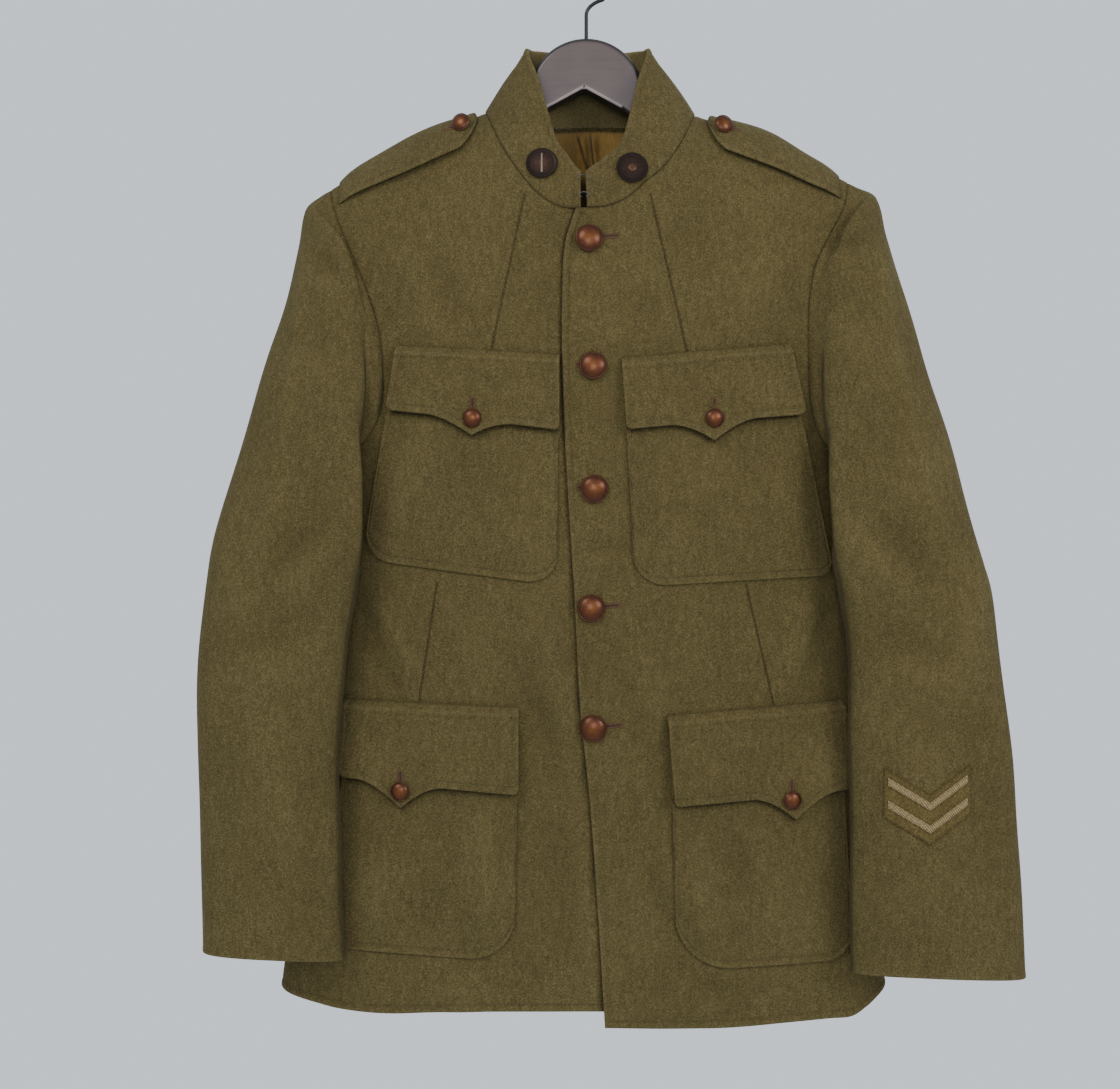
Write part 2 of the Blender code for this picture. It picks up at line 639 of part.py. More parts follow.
def build_sleeve(side):
    cuff = len(SLEEVE_LEFT) + 1
    stations = np.concatenate([[0, 0.5, 1, 1.5], np.arange(2, 7), np.linspace(7, cuff, 7)])
    shares = np.array(HEAD_SHARES)
    head = shares[shares <= BACK_SLEEVE_SEAM][:0:-1]
    under = shares[(shares >= BACK_SLEEVE_SEAM) & (shares <= FRONT_SLEEVE_SEAM)][::-1]
    pieces = (
        ("topsleeve_", np.pi * np.concatenate([-head, shares, [2 - FRONT_SLEEVE_SEAM]])),
        ("undersleeve_", np.pi * (2 - under)),
    )
    for prefix, turns in pieces:
        turns[0] += SLEEVE_SEAM_TURN
        turns[-1] -= SLEEVE_SEAM_TURN
        turn, station = np.meshgrid(turns, stations, indexing="ij")
        inner = sleeve_layer(side, turn, station, -np.full(turn.shape, CLOTH / 2))
        outer = sleeve_layer(side, turn, station, np.full(turn.shape, CLOTH / 2))
        wall(prefix + side, inner, outer, "wool")


def collar(way, rise):
    """A point of the collar: way 0 to 4 around the neck, rise 0 to 1 up from its seam."""
    way, rise = np.broadcast_arrays(np.asarray(way, float), np.asarray(rise, float))
    along = np.clip(way, 0, 4)
    first = outline(NECK_RIGHT, np.clip(along, 0, 1))
    last = outline(NECK_LEFT, np.clip(4 - along, 0, 1))
    behind = outline(NECK_BACK, np.clip((along - 1) / 2, 0, 1))
    base_first = front_layer(first[..., 0], first[..., 1], np.zeros(along.shape), "right")
    base_last = front_layer(last[..., 0], last[..., 1], np.zeros(along.shape), "left")
    angle, roll = to_body(behind[..., 0], behind[..., 1])
    base_behind = skin(np.pi - angle, roll)
    base = np.where((along < 1)[..., None], base_first, base_behind)
    base = np.where((along > 3)[..., None], base_last, base)
    half = np.where(along <= 2, along, 4 - along)
    side = np.where(along <= 2, -1, 1)
    top = np.stack([
        COLLAR_FRONT_CENTRE + (COLLAR_CENTRE - COLLAR_FRONT_CENTRE) * smoothstep(0, 0.4, half) + side * hermite(COLLAR_TOP["way"], COLLAR_TOP["across"], half),
        hermite(COLLAR_TOP["way"], COLLAR_TOP["depth"], half),
        hermite(COLLAR_TOP["way"], COLLAR_TOP["height"], half),
    ], axis=-1)
    bow = np.sin(np.pi * np.clip(rise, 0, 1))[..., None] * 2.0
    middle = np.array((0.0, -5.0, 0.0))
    out = (base + top) / 2 - middle
    out[..., 2] = 0
    out = out / np.maximum(np.linalg.norm(out, axis=-1, keepdims=True), 1e-9)
    return base + (top - base) * rise[..., None] + out * bow


def collar_layer(way, rise, out):
    normal = numeric_normal(collar, way, rise, 2e-3)
    return collar(way, rise) - normal * np.asarray(out)[..., None]


def build_collar():
    ways = np.concatenate([np.linspace(0.02, 1, 11), np.linspace(1, 3, 13)[1:-1], np.linspace(3, 3.98, 11)])
    rises = np.linspace(0.05, 1, 5)
    way, rise = np.meshgrid(ways, rises, indexing="ij")
    half = np.full(way.shape, COLLAR_CLOTH / 2)
    wall("collar", collar_layer(way, rise, -half), collar_layer(way, rise, half), "wool")


def strap_root(side, roll):
    """Where a strap starts, just inside the armhole seam."""
    front, back = ARMHOLES[side]
    rolls = np.concatenate([-back[2][:150][::-1], front[2][1:150]])
    angles = np.concatenate([back[1][:150][::-1], front[1][1:150]])
    place = skin(np.interp(roll, rolls, angles), roll)
    return place[..., 0] * (1 - 2 * STRAP_CLOTH / 200)


def strap_layer(side, share, across_share, out):
    """A point over the shoulder: share 0 at the sleeve to 1 at the collar end."""
    front = hermite(STRAP["share"], STRAP["front"], share)
    back = hermite(STRAP["share"], STRAP["back"], share)
    roll = front + (back - front) * across_share
    far = strap_root(side, roll)
    across = far + (STRAP_NEAR[side] - far) * share
    height = shoulder_height(across) - drop_of(roll)
    angle = np.arcsin(np.clip(across / half_width(height, across), -1, 1))
    return skin(angle, roll) + body_normal(angle, roll) * np.asarray(out)[..., None]


def build_strap(side):
    shares = np.concatenate([np.linspace(0.012, 0.86, 11), [0.91, 0.95, 0.98, 1.0]])
    crossings = np.linspace(0, 1, 7)
    share, crossing = np.meshgrid(shares, crossings, indexing="ij")

    # The collar end is a half round
    into_end = np.clip((share - (1 - STRAP_END_ROUND)) / STRAP_END_ROUND, 0, 0.985)
    narrow = np.sqrt(1 - into_end**2)
    crossing = 0.5 + (crossing - 0.5) * narrow
    lift = hermite(STRAP["share"], STRAP["lift"], share)
    low = CLOTH / 2 + LAY_GAP + lift
    inner = strap_layer(side, share, crossing, low)
    outer = strap_layer(side, share, crossing, low + STRAP_CLOTH)
    wall("strap_" + side, inner, outer, "wool")


def corner_rise(distance, radius):
    """How far a rounded corner lifts the edge at a distance from the side."""
    inside = np.clip(radius - distance, 0, radius)
    return radius - np.sqrt(np.maximum(radius**2 - inside**2, 0))


def pocket_grid(size, shares, rises):
    """Places of a pocket bag: share 0 to 1 from the inner side, rise 0 to 1 down."""
    share, down = np.meshgrid(shares, rises, indexing="ij")
    bottom = size["bottom"][0] + (size["bottom"][1] - size["bottom"][0]) * share
    top = size["top"][0] + (size["top"][1] - size["top"][0]) * share
    width = abs(size["outer"][1] - size["inner"][1])
    bottom = bottom + corner_rise(share * width, size["corner"][0])
    bottom = bottom + corner_rise((1 - share) * width, size["corner"][1])
    height = top + (bottom - top) * down
    reach = (size["top"][0] - height) / (size["top"][0] - size["bottom"][0])
    inner = size["inner"][0] + (size["inner"][1] - size["inner"][0]) * reach
    outer = size["outer"][0] + (size["outer"][1] - size["outer"][0]) * reach
    return share, down, inner + (outer - inner) * share, height


def pocket_puff(size, share, down):
    edge = np.minimum(np.minimum(share, 1 - share) * 6, (1 - down) * 5)
    return size["puff"] * smoothstep(0, 1, edge)


def bag_shares(size):
    """Columns of a pocket bag, close together where its corners are round."""
    width = abs(size["outer"][1] - size["inner"][1])
    turns = 1 - np.cos(np.radians((0, 30, 60, 90)))
    first = turns * size["corner"][0] / width
    last = 1 - (turns * size["corner"][1] / width)[::-1]
    return np.concatenate([first, np.linspace(first[-1], last[0], 6)[1:-1], last])


def build_pocket(name, side):
    size = POCKETS[name]
    share, down, across, height = pocket_grid(size, bag_shares(size), np.linspace(0, 1, 9))
    low = CLOTH / 2 + LAY_GAP + pocket_puff(size, share, down) * 0.6
    inner = front_layer(across, height, low, side)
    outer = front_layer(across, height, low + POCKET_CLOTH + pocket_puff(size, share, down) * 0.4, side)
    wall("pocket_" + name, inner, outer, "wool")


def flap_drop(size, across, share):
    """Depth of a flap: straight ends that scoop down to a point."""
    point_x, point_drop = size["point"]
    straight = size["drop"][0] + (size["drop"][1] - size["drop"][0]) * share
    reach = np.clip(1 - np.abs(across - point_x) / FLAP_SCOOP, 0, 1)
    width = abs(size["outer"][1] - size["inner"][1])
    corners = corner_rise(share * width, FLAP_CORNER) + corner_rise((1 - share) * width, FLAP_CORNER)
    return straight + (point_drop - straight) * reach**1.7 - corners


def flap_rest(name, down):
    """Height of a flap's underside above its panel: sewn at the top, over the bag below."""
    over_bag = CLOTH / 2 + LAY_GAP + POCKET_CLOTH + POCKETS[name]["puff"] + LAY_GAP
    step = smoothstep(0.0, 0.17, down)
    return CLOTH / 2 + LAY_GAP + (over_bag - CLOTH / 2 - LAY_GAP) * step + FLAP_STAND * smoothstep(0.3, 1, down)


def build_flap(name, side):
    size = FLAPS[name]
    width = abs(size["outer"][1] - size["inner"][1])
    point_share = (size["point"][0] - size["inner"][1]) / (size["outer"][1] - size["inner"][1])
    corner = FLAP_CORNER / width
    scoop = FLAP_SCOOP / width
    shares = np.concatenate([
        [0, corner * 0.3, corner],
        np.linspace(point_share - scoop, point_share, 5),
        np.linspace(point_share, point_share + scoop, 5)[1:],
        [1 - corner, 1 - corner * 0.3, 1],
    ])
    middle_right = 0.5 * (point_share + scoop + 1 - corner)
    shares = np.unique(np.concatenate([shares, [0.5 * (corner + point_share - scoop), middle_right]]))
    share, down = np.meshgrid(shares, (0, 0.08, 0.17, 0.5, 1), indexing="ij")
    top = size["top"][0] + (size["top"][1] - size["top"][0]) * share
    foot_across = size["inner"][1] + (size["outer"][1] - size["inner"][1]) * share
    top_across = size["inner"][0] + (size["outer"][0] - size["inner"][0]) * share
    across = top_across + (foot_across - top_across) * down
    height = top - flap_drop(size, foot_across, share) * down
    low = flap_rest(name, down)
    inner = front_layer(across, height, low, side)
    outer = front_layer(across, height, low + FLAP_CLOTH, side)
    wall("flap_" + name, inner, outer, "wool")


def turned(name, profile, place, normal, finish, segments):
    """Round piece from a (radius, height) profile, standing on a normal."""
    normal = np.asarray(normal, float) / np.linalg.norm(normal)
    helper = np.array((0.0, 0.0, 1.0)) if abs(normal[2]) < 0.9 else np.array((1.0, 0.0, 0.0))
    first = np.cross(helper, normal)
    first = first / np.linalg.norm(first)
    second = np.cross(normal, first)
    vertices = []
    faces = []
    rings = [entry for entry in profile if entry[0] > 0]
    for radius, height in rings:
        for k in range(segments):
            turn = 2 * np.pi * k / segments
            vertices.append(place + normal * height + radius * (np.cos(turn) * first + np.sin(turn) * second))
    for r in range(len(rings) - 1):
        for k in range(segments):
            n = (k + 1) % segments
            faces.append((r * segments + k, r * segments + n, (r + 1) * segments + n, (r + 1) * segments + k))
    for ring, height in ((0, profile[0][1]), (len(rings) - 1, profile[-1][1])):
        vertices.append(place + normal * height)
        tip = len(vertices) - 1
        for k in range(segments):
            faces.append((ring * segments + k, ring * segments + (k + 1) % segments, tip))
    return make_object(name, vertices, faces, finish)


def button_profile(radius, height):
    """Domed button with a rolled rim and a narrow shank below."""
    shank = 0.28 * radius
    return (
        (0, 0.0), (shank, 0.0), (shank, height * 0.26), (radius * 0.92, height * 0.30),
        (radius, height * 0.42), (radius * 0.93, height * 0.60), (radius * 0.72, height * 0.82),
        (radius * 0.38, height * 0.96), (0, height),
    )


def point_and_normal(layer, out):
    """Place and outward direction of a layer, from two heights above it."""
    low = layer(out)
    high = layer(out + 1.0)
    return low, high - low


def build_buttons():
    for number, (across, height) in enumerate(FRONT_BUTTONS, start=1):
        place, normal = point_and_normal(
            lambda out: front_layer(across, height, out, "left"), CLOTH / 2 + LAY_GAP)
        turned("button_front_%d" % number, button_profile(FRONT_BUTTON_RADIUS, 6.5), place, normal, "bronze", 16)
    for name, (across, height) in POCKET_BUTTONS.items():
        side = name.split("_")[1]
        size = FLAPS[name]
        share = (across - size["inner"][1]) / (size["outer"][1] - size["inner"][1])
        top = size["top"][0] + (size["top"][1] - size["top"][0]) * share
        down = (top - height) / flap_drop(size, across, share)
        out = float(flap_rest(name, down)) + FLAP_CLOTH + LAY_GAP
        place, normal = point_and_normal(lambda lift: front_layer(across, height, lift, side), out)
        turned("button_" + name, button_profile(POCKET_BUTTON_RADIUS, 5.0), place, normal, "bronze", 12)
    for side in ("left", "right"):
        share = 0.90
        lift = hermite(STRAP["share"], STRAP["lift"], share)
        out = CLOTH / 2 + 2 * LAY_GAP + lift + STRAP_CLOTH
        place, normal = point_and_normal(lambda level: strap_layer(side, share, 0.5, level), out)
        turned("button_strap_" + side, button_profile(STRAP_BUTTON_RADIUS, 5.0), place, normal, "bronze", 12)


def find_place(surface, across, height, guess):
    """Parameters of a surface where it is seen at (across, height) from the front."""
    u = np.full(np.shape(across), float(guess[0]))
    v = np.full(np.shape(across), float(guess[1]))
    step = 1e-3
    for _ in range(25):
        here = surface(u, v)
        along_u = (surface(u + step, v) - here) / step
        along_v = (surface(u, v + step) - here) / step
        miss_x = across - here[..., 0]
        miss_z = height - here[..., 2]
        area = along_u[..., 0] * along_v[..., 2] - along_u[..., 2] * along_v[..., 0]
        u = u + np.clip((miss_x * along_v[..., 2] - miss_z * along_v[..., 0]) / area, -0.3, 0.3)
        v = v + np.clip((along_u[..., 0] * miss_z - along_u[..., 2] * miss_x) / area, -0.5, 0.5)
    return u, v


def build_discs():
    profile = (
        (0, 0.0), (3.0, 0.0), (3.0, 1.0), (DISC_RADIUS * 0.97, 1.0), (DISC_RADIUS, 1.7),
        (DISC_RADIUS * 0.96, 2.6), (DISC_RADIUS * 0.86, 2.5), (DISC_RADIUS * 0.82, 2.1), (0, 2.1),
    )
    for side, guess in (("right", 0.45), ("left", 3.55)):
        across, height = DISCS[side]
        way, rise = find_place(collar, np.array(across), np.array(height), (guess, 0.5))
        place, normal = point_and_normal(
            lambda out: collar_layer(way, rise, np.array(out)), COLLAR_CLOTH / 2 + LAY_GAP)
        turned("disc_" + side, profile, place, normal, "dark_bronze", 20)


def wire(name, points, radius, finish, resolution=2):
    """Round wire through the points, with closed ends."""
    curve = bpy.data.curves.new(name, "CURVE")
    curve.dimensions = "3D"
    curve.bevel_depth = radius * MM
    curve.bevel_resolution = resolution
    curve.use_fill_caps = True
    spline = curve.splines.new("POLY")
    spline.points.add(len(points) - 1)
    for target, point in zip(spline.points, points):
        target.co = (*[float(c) * MM for c in point], 1)
    piece = bpy.data.objects.new(name, curve)
    bpy.context.scene.collection.objects.link(piece)
    dress(piece, finish)
    return piece


def build_collar_hooks():
    """Two bent wires that bridge the ends of the collar."""
    for number, rise in ((1, 0.72), (2, 0.30)):
        left_end = collar_layer(np.array(0.06), np.array(rise), np.array(COLLAR_CLOTH / 2 + 1.1))
        right_end = collar_layer(np.array(3.94), np.array(rise), np.array(COLLAR_CLOTH / 2 + 1.1))
        low, high = (collar_layer(np.array(0.06), np.array(rise + step), np.array(0.0)) for step in (-0.1, 0.1))
        slope = (high[1] - low[1]) / (high[2] - low[2])
        front = min(left_end[1], right_end[1]) - 0.9
        middle = (left_end + right_end) / 2
        half = abs(right_end[0] - left_end[0]) / 2 + 0.8
        loop = []
        for k in range(9):
            turn = np.pi * (k / 8 - 0.5) * 1.7
            up = 2.0 * np.cos(turn)
            loop.append((middle[0] + half * np.sin(turn), front + slope * up, middle[2] + up))
        wire("collar_hook_%d" % number, loop, 0.55, "steel")


def build_lining():
    across = np.linspace(LINING_SIDES[0], LINING_SIDES[1], 13)
    down = np.linspace(0, 1, 8) ** 1.5
    x, share = np.meshgrid(across, down, indexing="ij")
    neck = hermite([p[0] for p in NECK_BACK], [p[1] for p in NECK_BACK], x)
    height = neck - 2.5 + (LINING_FOOT - neck + 2.5) * share
    angle, roll = to_body(x, height)
    fold = LINING_PLEAT * np.exp(-((x - 2) / 9) ** 2) * smoothstep(0, 0.2, share)
    inward = -(CLOTH / 2 + LINING_GAP + fold)[..., None]
    middle = skin(np.pi - angle, roll)
    normal = body_normal(np.pi - angle, roll)
    wall("lining_back", middle + normal * (inward - LINING_CLOTH), middle + normal * inward, "lining")


def chevron_surface(turn, station):
    return sleeve("left", turn, station)


def patch(name, across, height, low, thick, finish):
    """A flat patch on the left sleeve from a grid seen from the front."""
    turn, station = find_place(chevron_surface, across, height, (1.6, 10.5))
    inner = sleeve_layer("left", turn, station, np.full(turn.shape, low))
    outer = sleeve_layer("left", turn, station, np.full(turn.shape, low + thick))
    wall(name, inner, outer, finish)


def build_chevrons():
    tip = np.array(CHEVRON_TIP, float)
    arms = [np.array(arm, float) for arm in CHEVRON_ARMS]
    shares = np.concatenate([np.linspace(1, 0, 6), np.linspace(0, 1, 6)[1:]])
    first = np.arange(len(shares)) < 6

    def line(shift, reach=1.0):
        points = [tip + arms[0 if is_first else 1] * s * reach for s, is_first in zip(shares, first)]
        return np.array(points) + (0, shift)

    low = CLOTH / 2 + LAY_GAP
    top = line(CHEVRON_PITCH + CHEVRON_TAPE / 2 + 3.0, 1.12)
    bottom = line(-CHEVRON_TAPE / 2 - BACKING_MARGIN, 1.12)
    steps = np.linspace(0, 1, 5)[None, :, None]
    grid = bottom[:, None] * (1 - steps) + top[:, None] * steps
    patch("chevron_backing", grid[..., 0], grid[..., 1], low, PATCH_CLOTH, "wool")
    for name, shift in (("chevron_lower", 0.0), ("chevron_upper", CHEVRON_PITCH)):
        under = line(shift - CHEVRON_TAPE / 2)
        over = line(shift + CHEVRON_TAPE / 2)
        grid = np.stack([under, over], axis=1)
        patch(name, grid[..., 0], grid[..., 1], low + PATCH_CLOTH + LAY_GAP, PATCH_CLOTH, "tape")


def arm_seat(across):
    """How far the top of an arm lies below the shoulder line, so that it just fits inside."""
    height = float(shoulder_height(across))
    depth = min(float(hermite(BODY["height"], BODY[key], height)) for key in ("front", "back"))
    share = abs(across) / float(half_width(height, across))
    depth = depth * (1 - share**BOXINESS) ** (1 / BOXINESS)
    seats = []
    for edge, lowered in ((HANGER_THICK / 2 - HANGER_ROUND, 0.0), (HANGER_THICK / 2, HANGER_ROUND)):
        swell = min((edge + CLOTH / 2 + SEAM_GAP) / depth, 1)
        seats.append(SHOULDER_ROLL * (1 - (1 - swell**2) ** 0.5) - lowered)
    return max(seats) + (CLOTH / 2 + SEAM_GAP) * 1.12 + HANGER_SEAT


def build_hanger():
    """Wooden hanger: a round hump in the neck and two arms under the shoulders."""
    top = []
    for side in ("right", "left"):
        near = -64.0 if side == "right" else 66.0
        across = np.linspace(ARM_END[side], near, 9)
        rows = [(x, float(shoulder_height(x)) - arm_seat(x)) for x in across]
        top.append(rows if side == "right" else rows[::-1])
    centre_z = HUMP_TOP - HUMP_RADIUS
    hump = []
    for k in range(15):
        turn = np.radians(-76 + 152 * k / 14)
        hump.append((HUMP_RADIUS * np.sin(turn), centre_z + HUMP_RADIUS * np.cos(turn)))
    below = []
    for side in ("left", "right"):
        end = ARM_END[side]
        reach = np.linspace(end, 62 if side == "left" else -66, 7)
        heights = np.interp(np.abs(reach), (60, 205), ARM_HEIGHT)
        rows = [(x, float(shoulder_height(x)) - arm_seat(x) - h) for x, h in zip(reach, heights)]
        rows = rows if side == "left" else rows[::-1]
        foot = [(s * 30 + NOTCH[0], NOTCH[1] - 30 * NOTCH_SLOPE) for s in ((1,) if side == "left" else (-1,))]
        below.extend(rows + foot + [NOTCH] if side == "left" else foot + rows)
    rim = top[0] + hump + top[1] + below
    half = HANGER_THICK / 2
    vertices = [(x, -half, z) for x, z in rim] + [(x, half, z) for x, z in rim]
    count = len(rim)
    faces = [tuple(range(count)), tuple(range(2 * count - 1, count - 1, -1))]
    for k in range(count):
        n = (k + 1) % count
        faces.append((n, k, k + count, n + count))
    piece = make_object("hanger", vertices, faces, "wood")
    bevel = piece.modifiers.new("round_edges", "BEVEL")
    bevel.width = HANGER_ROUND * MM
    bevel.segments = 2
    bevel.limit_method = "ANGLE"
    bevel.angle_limit = np.radians(50)


def hook_path():
    """Stem, bend and open ring of the hanger's hook."""
    radius = HOOK_INSIDE + HOOK_WIRE
    centre = -HOOK_INSIDE
    points = [(0, 0, z) for z in np.linspace(HUMP_TOP + 0.35, HOOK_BEND_HEIGHT, 3)]
    start = np.radians(140)
    first = np.array((radius * np.sin(start), 0, centre + radius * np.cos(start)))
    control = np.array((0, 0, HOOK_BEND_HEIGHT + 9))
    stem_top = np.array((0, 0, HOOK_BEND_HEIGHT))
    for t in np.linspace(0, 1, 6)[1:-1]:
        points.append(tuple((1 - t) ** 2 * stem_top + 2 * t * (1 - t) * control + t**2 * first))
    for degrees in np.linspace(140, -110, 20):
        turn = np.radians(degrees)
        points.append((radius * np.sin(turn), 0, centre + radius * np.cos(turn)))
    return points


def build_all():
    for old in list(bpy.data.objects):
        bpy.data.objects.remove(old)
    for side in ("left", "right"):
        build_front(side)
        build_sleeve(side)
        build_strap(side)
    build_back()
    build_collar()
    for name in POCKETS:
        side = name.split("_")[1]
        build_pocket(name, side)
        build_flap(name, side)
    build_buttons()
    build_discs()
    build_collar_hooks()
    build_lining()
    build_chevrons()
    build_hanger()
    wire("hanger_hook", hook_path(), HOOK_WIRE, "black_wire")


build_all()
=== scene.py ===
import bpy
import numpy as np
from mathutils import Matrix, Vector


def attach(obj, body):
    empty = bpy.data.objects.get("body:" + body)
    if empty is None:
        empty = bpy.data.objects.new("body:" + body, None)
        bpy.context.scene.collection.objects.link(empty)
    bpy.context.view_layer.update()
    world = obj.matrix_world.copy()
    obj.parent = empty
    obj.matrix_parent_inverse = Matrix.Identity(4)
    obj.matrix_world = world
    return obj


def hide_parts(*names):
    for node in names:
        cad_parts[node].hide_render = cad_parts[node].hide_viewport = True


# A wool service coat on a wooden hanger. Tables are in millimetres, as seen from the front.
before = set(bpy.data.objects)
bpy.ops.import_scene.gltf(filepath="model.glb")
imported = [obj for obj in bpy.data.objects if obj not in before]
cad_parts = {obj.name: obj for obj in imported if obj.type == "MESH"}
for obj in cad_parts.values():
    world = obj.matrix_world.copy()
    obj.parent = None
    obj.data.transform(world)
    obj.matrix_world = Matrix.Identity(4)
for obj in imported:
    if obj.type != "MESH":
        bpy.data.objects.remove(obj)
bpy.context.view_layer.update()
mm = 0.001
print("frame loaded:", len(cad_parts), "nodes")

camera = {"place": (-0.0216, -1.705, -0.4822), "lens": 66.7}
cameraData = bpy.data.cameras.new("camera")
cameraData.lens = camera["lens"]
cameraObject = bpy.data.objects.new("camera", cameraData)
cameraObject.location = camera["place"]
cameraObject.rotation_euler = (np.pi / 2, 0, 0)
bpy.context.scene.collection.objects.link(cameraObject)
bpy.context.scene.camera = cameraObject

# The form of the coat: half widths and depths by height, and the shoulder line
body = {
    "height": (-880, -780, -700, -620, -540, -411, -300, -210, -120),
    "right": (254, 240, 224, 211, 203, 204, 222, 234, 238),
    "left": (247, 239, 228, 220, 215, 210, 224, 236, 240),
    "front": (33, 35, 38, 42, 46, 52, 52, 47, 46),
    "back": (32, 33, 34, 37, 40, 46, 48, 45, 44),
    "boxiness": 2.5,
}
shoulder = {
    "across": (-245, -209, -180, -150, -120, -82, 0, 88, 120, 150, 180, 214, 250),
    "height": (-214, -192, -174, -158.5, -144.5, -129, -90, -131, -141, -152, -168, -186, -203),
    "roll": 110.0,
}
cloth = {"wall": 2.0, "flap": 2.6, "strap": 3.0, "collar": 3.4, "pocket": 1.8, "lining": 1.0,
         "patch": 1.0, "lay": 0.5, "seam": 0.3}
lapLift = cloth["wall"] + cloth["lay"]
neck = {
    "right": ((-4, -213.5), (-20, -212.5), (-36, -204), (-54, -184), (-70, -158), (-82, -129)),
    "left": ((-1, -213.5), (16, -212), (31, -206), (46, -193), (61, -180), (76, -158), (88, -131)),
    "back": ((-82, -129), (-67, -135.5), (-40, -135), (3, -133), (46, -135), (73, -136.5), (88, -131)),
}
armholes = {
    ("right", "front"): ((-209, -192), (-205, -210), (-192, -243), (-178, -275), (-168, -306),
                         (-164, -342), (-167, -378), (-183, -402), (-204, -411)),
    ("left", "front"): ((214, -186), (209, -208), (197, -231), (184, -257), (178.5, -290),
                        (178, -330), (181, -372), (192, -400), (210, -411)),
    ("right", "back"): ((-209, -192), (-200, -225), (-189, -265), (-183, -310), (-185, -355),
                        (-193, -393), (-204, -411)),
    ("left", "back"): ((214, -186), (205, -218), (194, -260), (188, -308), (190, -355),
                       (198, -393), (210, -411)),
}
frontEdge = {
    "left": ((-871, -767, -687, -607, -527, -447, -367, -287, -239, -213.5),
             (14.5, 8, 2, -6, -10, -15, -19, -20, -17, -9)),
    "right": ((-858, -690, -440, -209), (42, 36, 24, 24)),
}
hem = {
    "angle": (0, 27, 41, 53, 61, 68, 76, 90, 104),
    "right": (-858, -859, -861, -858, -854, -851, -848, -843, -843),
    "left": (-871, -872, -868.5, -866, -865, -858, -850, -842, -842),
    "back": -848.0, "seamAngle": 104.0, "armpit": -411.0, "reach": 0.66,
}

# Soft folds: two ends, half width, and height above the form (below it where negative)
folds = {
    "front": (
        (-150, -232, -118, -318, 12, 2.2), (-128, -236, -100, -316, 11, -1.6),
        (148, -236, 122, -312, 13, 2.0), (176, -300, 150, -262, 9, -1.4),
        (-60, -560, -24, -668, 10, -2.6), (-42, -548, -4, -650, 9, 1.9),
        (-98, -545, -84, -618, 12, 1.7), (-186, -520, -150, -610, 13, -2.2),
        (-172, -520, -132, -612, 11, 1.8), (-2, -484, 34, -488, 5, -1.5),
        (-4, -494, 36, -496, 5, 1.0), (44, -728, 82, -812, 9, -2.0),
        (56, -722, 98, -806, 9, 1.6), (90, -708, 114, -752, 8, -1.3),
        (182, -510, 160, -612, 12, 2.0), (198, -520, 178, -606, 9, -1.8),
        (108, -524, 116, -600, 12, -1.5), (-30, -700, -14, -850, 12, -1.6),
        (-8, -690, 6, -850, 11, 1.3), (36, -560, 60, -640, 9, 1.4),
        (28, -580, 46, -660, 8, -1.2), (-112, -826, -96, -866, 14, 1.8),
        (120, -832, 132, -872, 14, -1.6), (-232, -822, -216, -850, 9, -1.5),
        (-12, -290, 0, -300, 8, 0.8), (8, -262, 22, -330, 7, 1.0),
    ),
    "back": (
        (-120, -190, -92, -330, 20, 3.0), (-70, -200, -60, -380, 17, -2.4),
        (118, -196, 96, -340, 20, 2.8), (74, -206, 66, -372, 17, -2.4),
        (-4, -190, 4, -300, 18, 2.0), (-150, -430, -70, -520, 15, 2.6),
        (-158, -452, -84, -545, 12, -2.2), (150, -436, 78, -520, 15, 2.6),
        (160, -460, 92, -548, 12, -2.2), (-90, -600, -112, -820, 22, 3.2),
        (-40, -610, -52, -830, 18, -2.8), (26, -600, 34, -830, 20, 2.8),
        (92, -600, 112, -815, 22, -3.0), (150, -620, 176, -820, 18, 2.6),
        (-160, -620, -186, -815, 18, -2.6), (-30, -480, 40, -500, 14, -1.8),
    ),
    "sleeveRight": (
        (-226, -232, -233, -322, 5, 1.8), (-233, -322, -246, -410, 6, 1.5),
        (-246, -410, -262, -520, 7, 1.0), (-216, -250, -196, -268, 8, -2.0),
        (-222, -264, -200, -284, 8, 1.6), (-236, -330, -204, -352, 9, 1.4),
        (-204, -452, -252, -500, 12, -2.6), (-196, -474, -248, -526, 11, 2.2),
        (-206, -540, -268, -560, 12, -1.8), (-214, -560, -280, -590, 12, 1.6),
        (-292, -480, -262, -566, 12, 1.8), (-252, -620, -236, -740, 15, 1.8),
        (-282, -600, -290, -720, 13, -1.6), (-224, -660, -212, -780, 12, -1.5),
    ),
    "sleeveLeft": (
        (238, -229, 243, -300, 6, 2.0), (243, -300, 256, -372, 6, 1.7),
        (256, -372, 280, -480, 7, 1.2), (190, -243, 226, -240, 6, -1.8),
        (192, -256, 228, -252, 7, 1.6), (186, -288, 214, -284, 7, -1.5),
        (222, -452, 272, -506, 13, -2.6), (214, -480, 262, -530, 12, 2.2),
        (224, -552, 292, -570, 12, -1.8), (232, -574, 300, -604, 12, 1.6),
        (318, -500, 300, -600, 13, 2.0), (262, -620, 256, -700, 15, 1.6),
        (306, -620, 322, -742, 14, -1.6), (226, -660, 230, -800, 12, -1.6),
        (300, -756, 330, -812, 13, 1.4),
    ),
    "bags": (
        (-46, -440, -64, -500, 9, 1.0), (-130, -400, -160, -470, 13, 1.3),
        (62, -440, 80, -504, 10, 1.0), (150, -410, 172, -480, 13, 1.4),
        (-84, -700, -76, -800, 12, 2.0), (-112, -694, -130, -800, 12, -1.6),
        (-166, -720, -176, -800, 11, 1.7), (-66, -730, -62, -790, 7, -1.0),
        (88, -712, 100, -806, 11, 2.1), (110, -705, 136, -770, 11, -1.9),
        (140, -720, 152, -812, 12, 1.6), (190, -720, 196, -800, 9, -1.3),
        (78, -762, 96, -820, 8, -1.2),
    ),
}


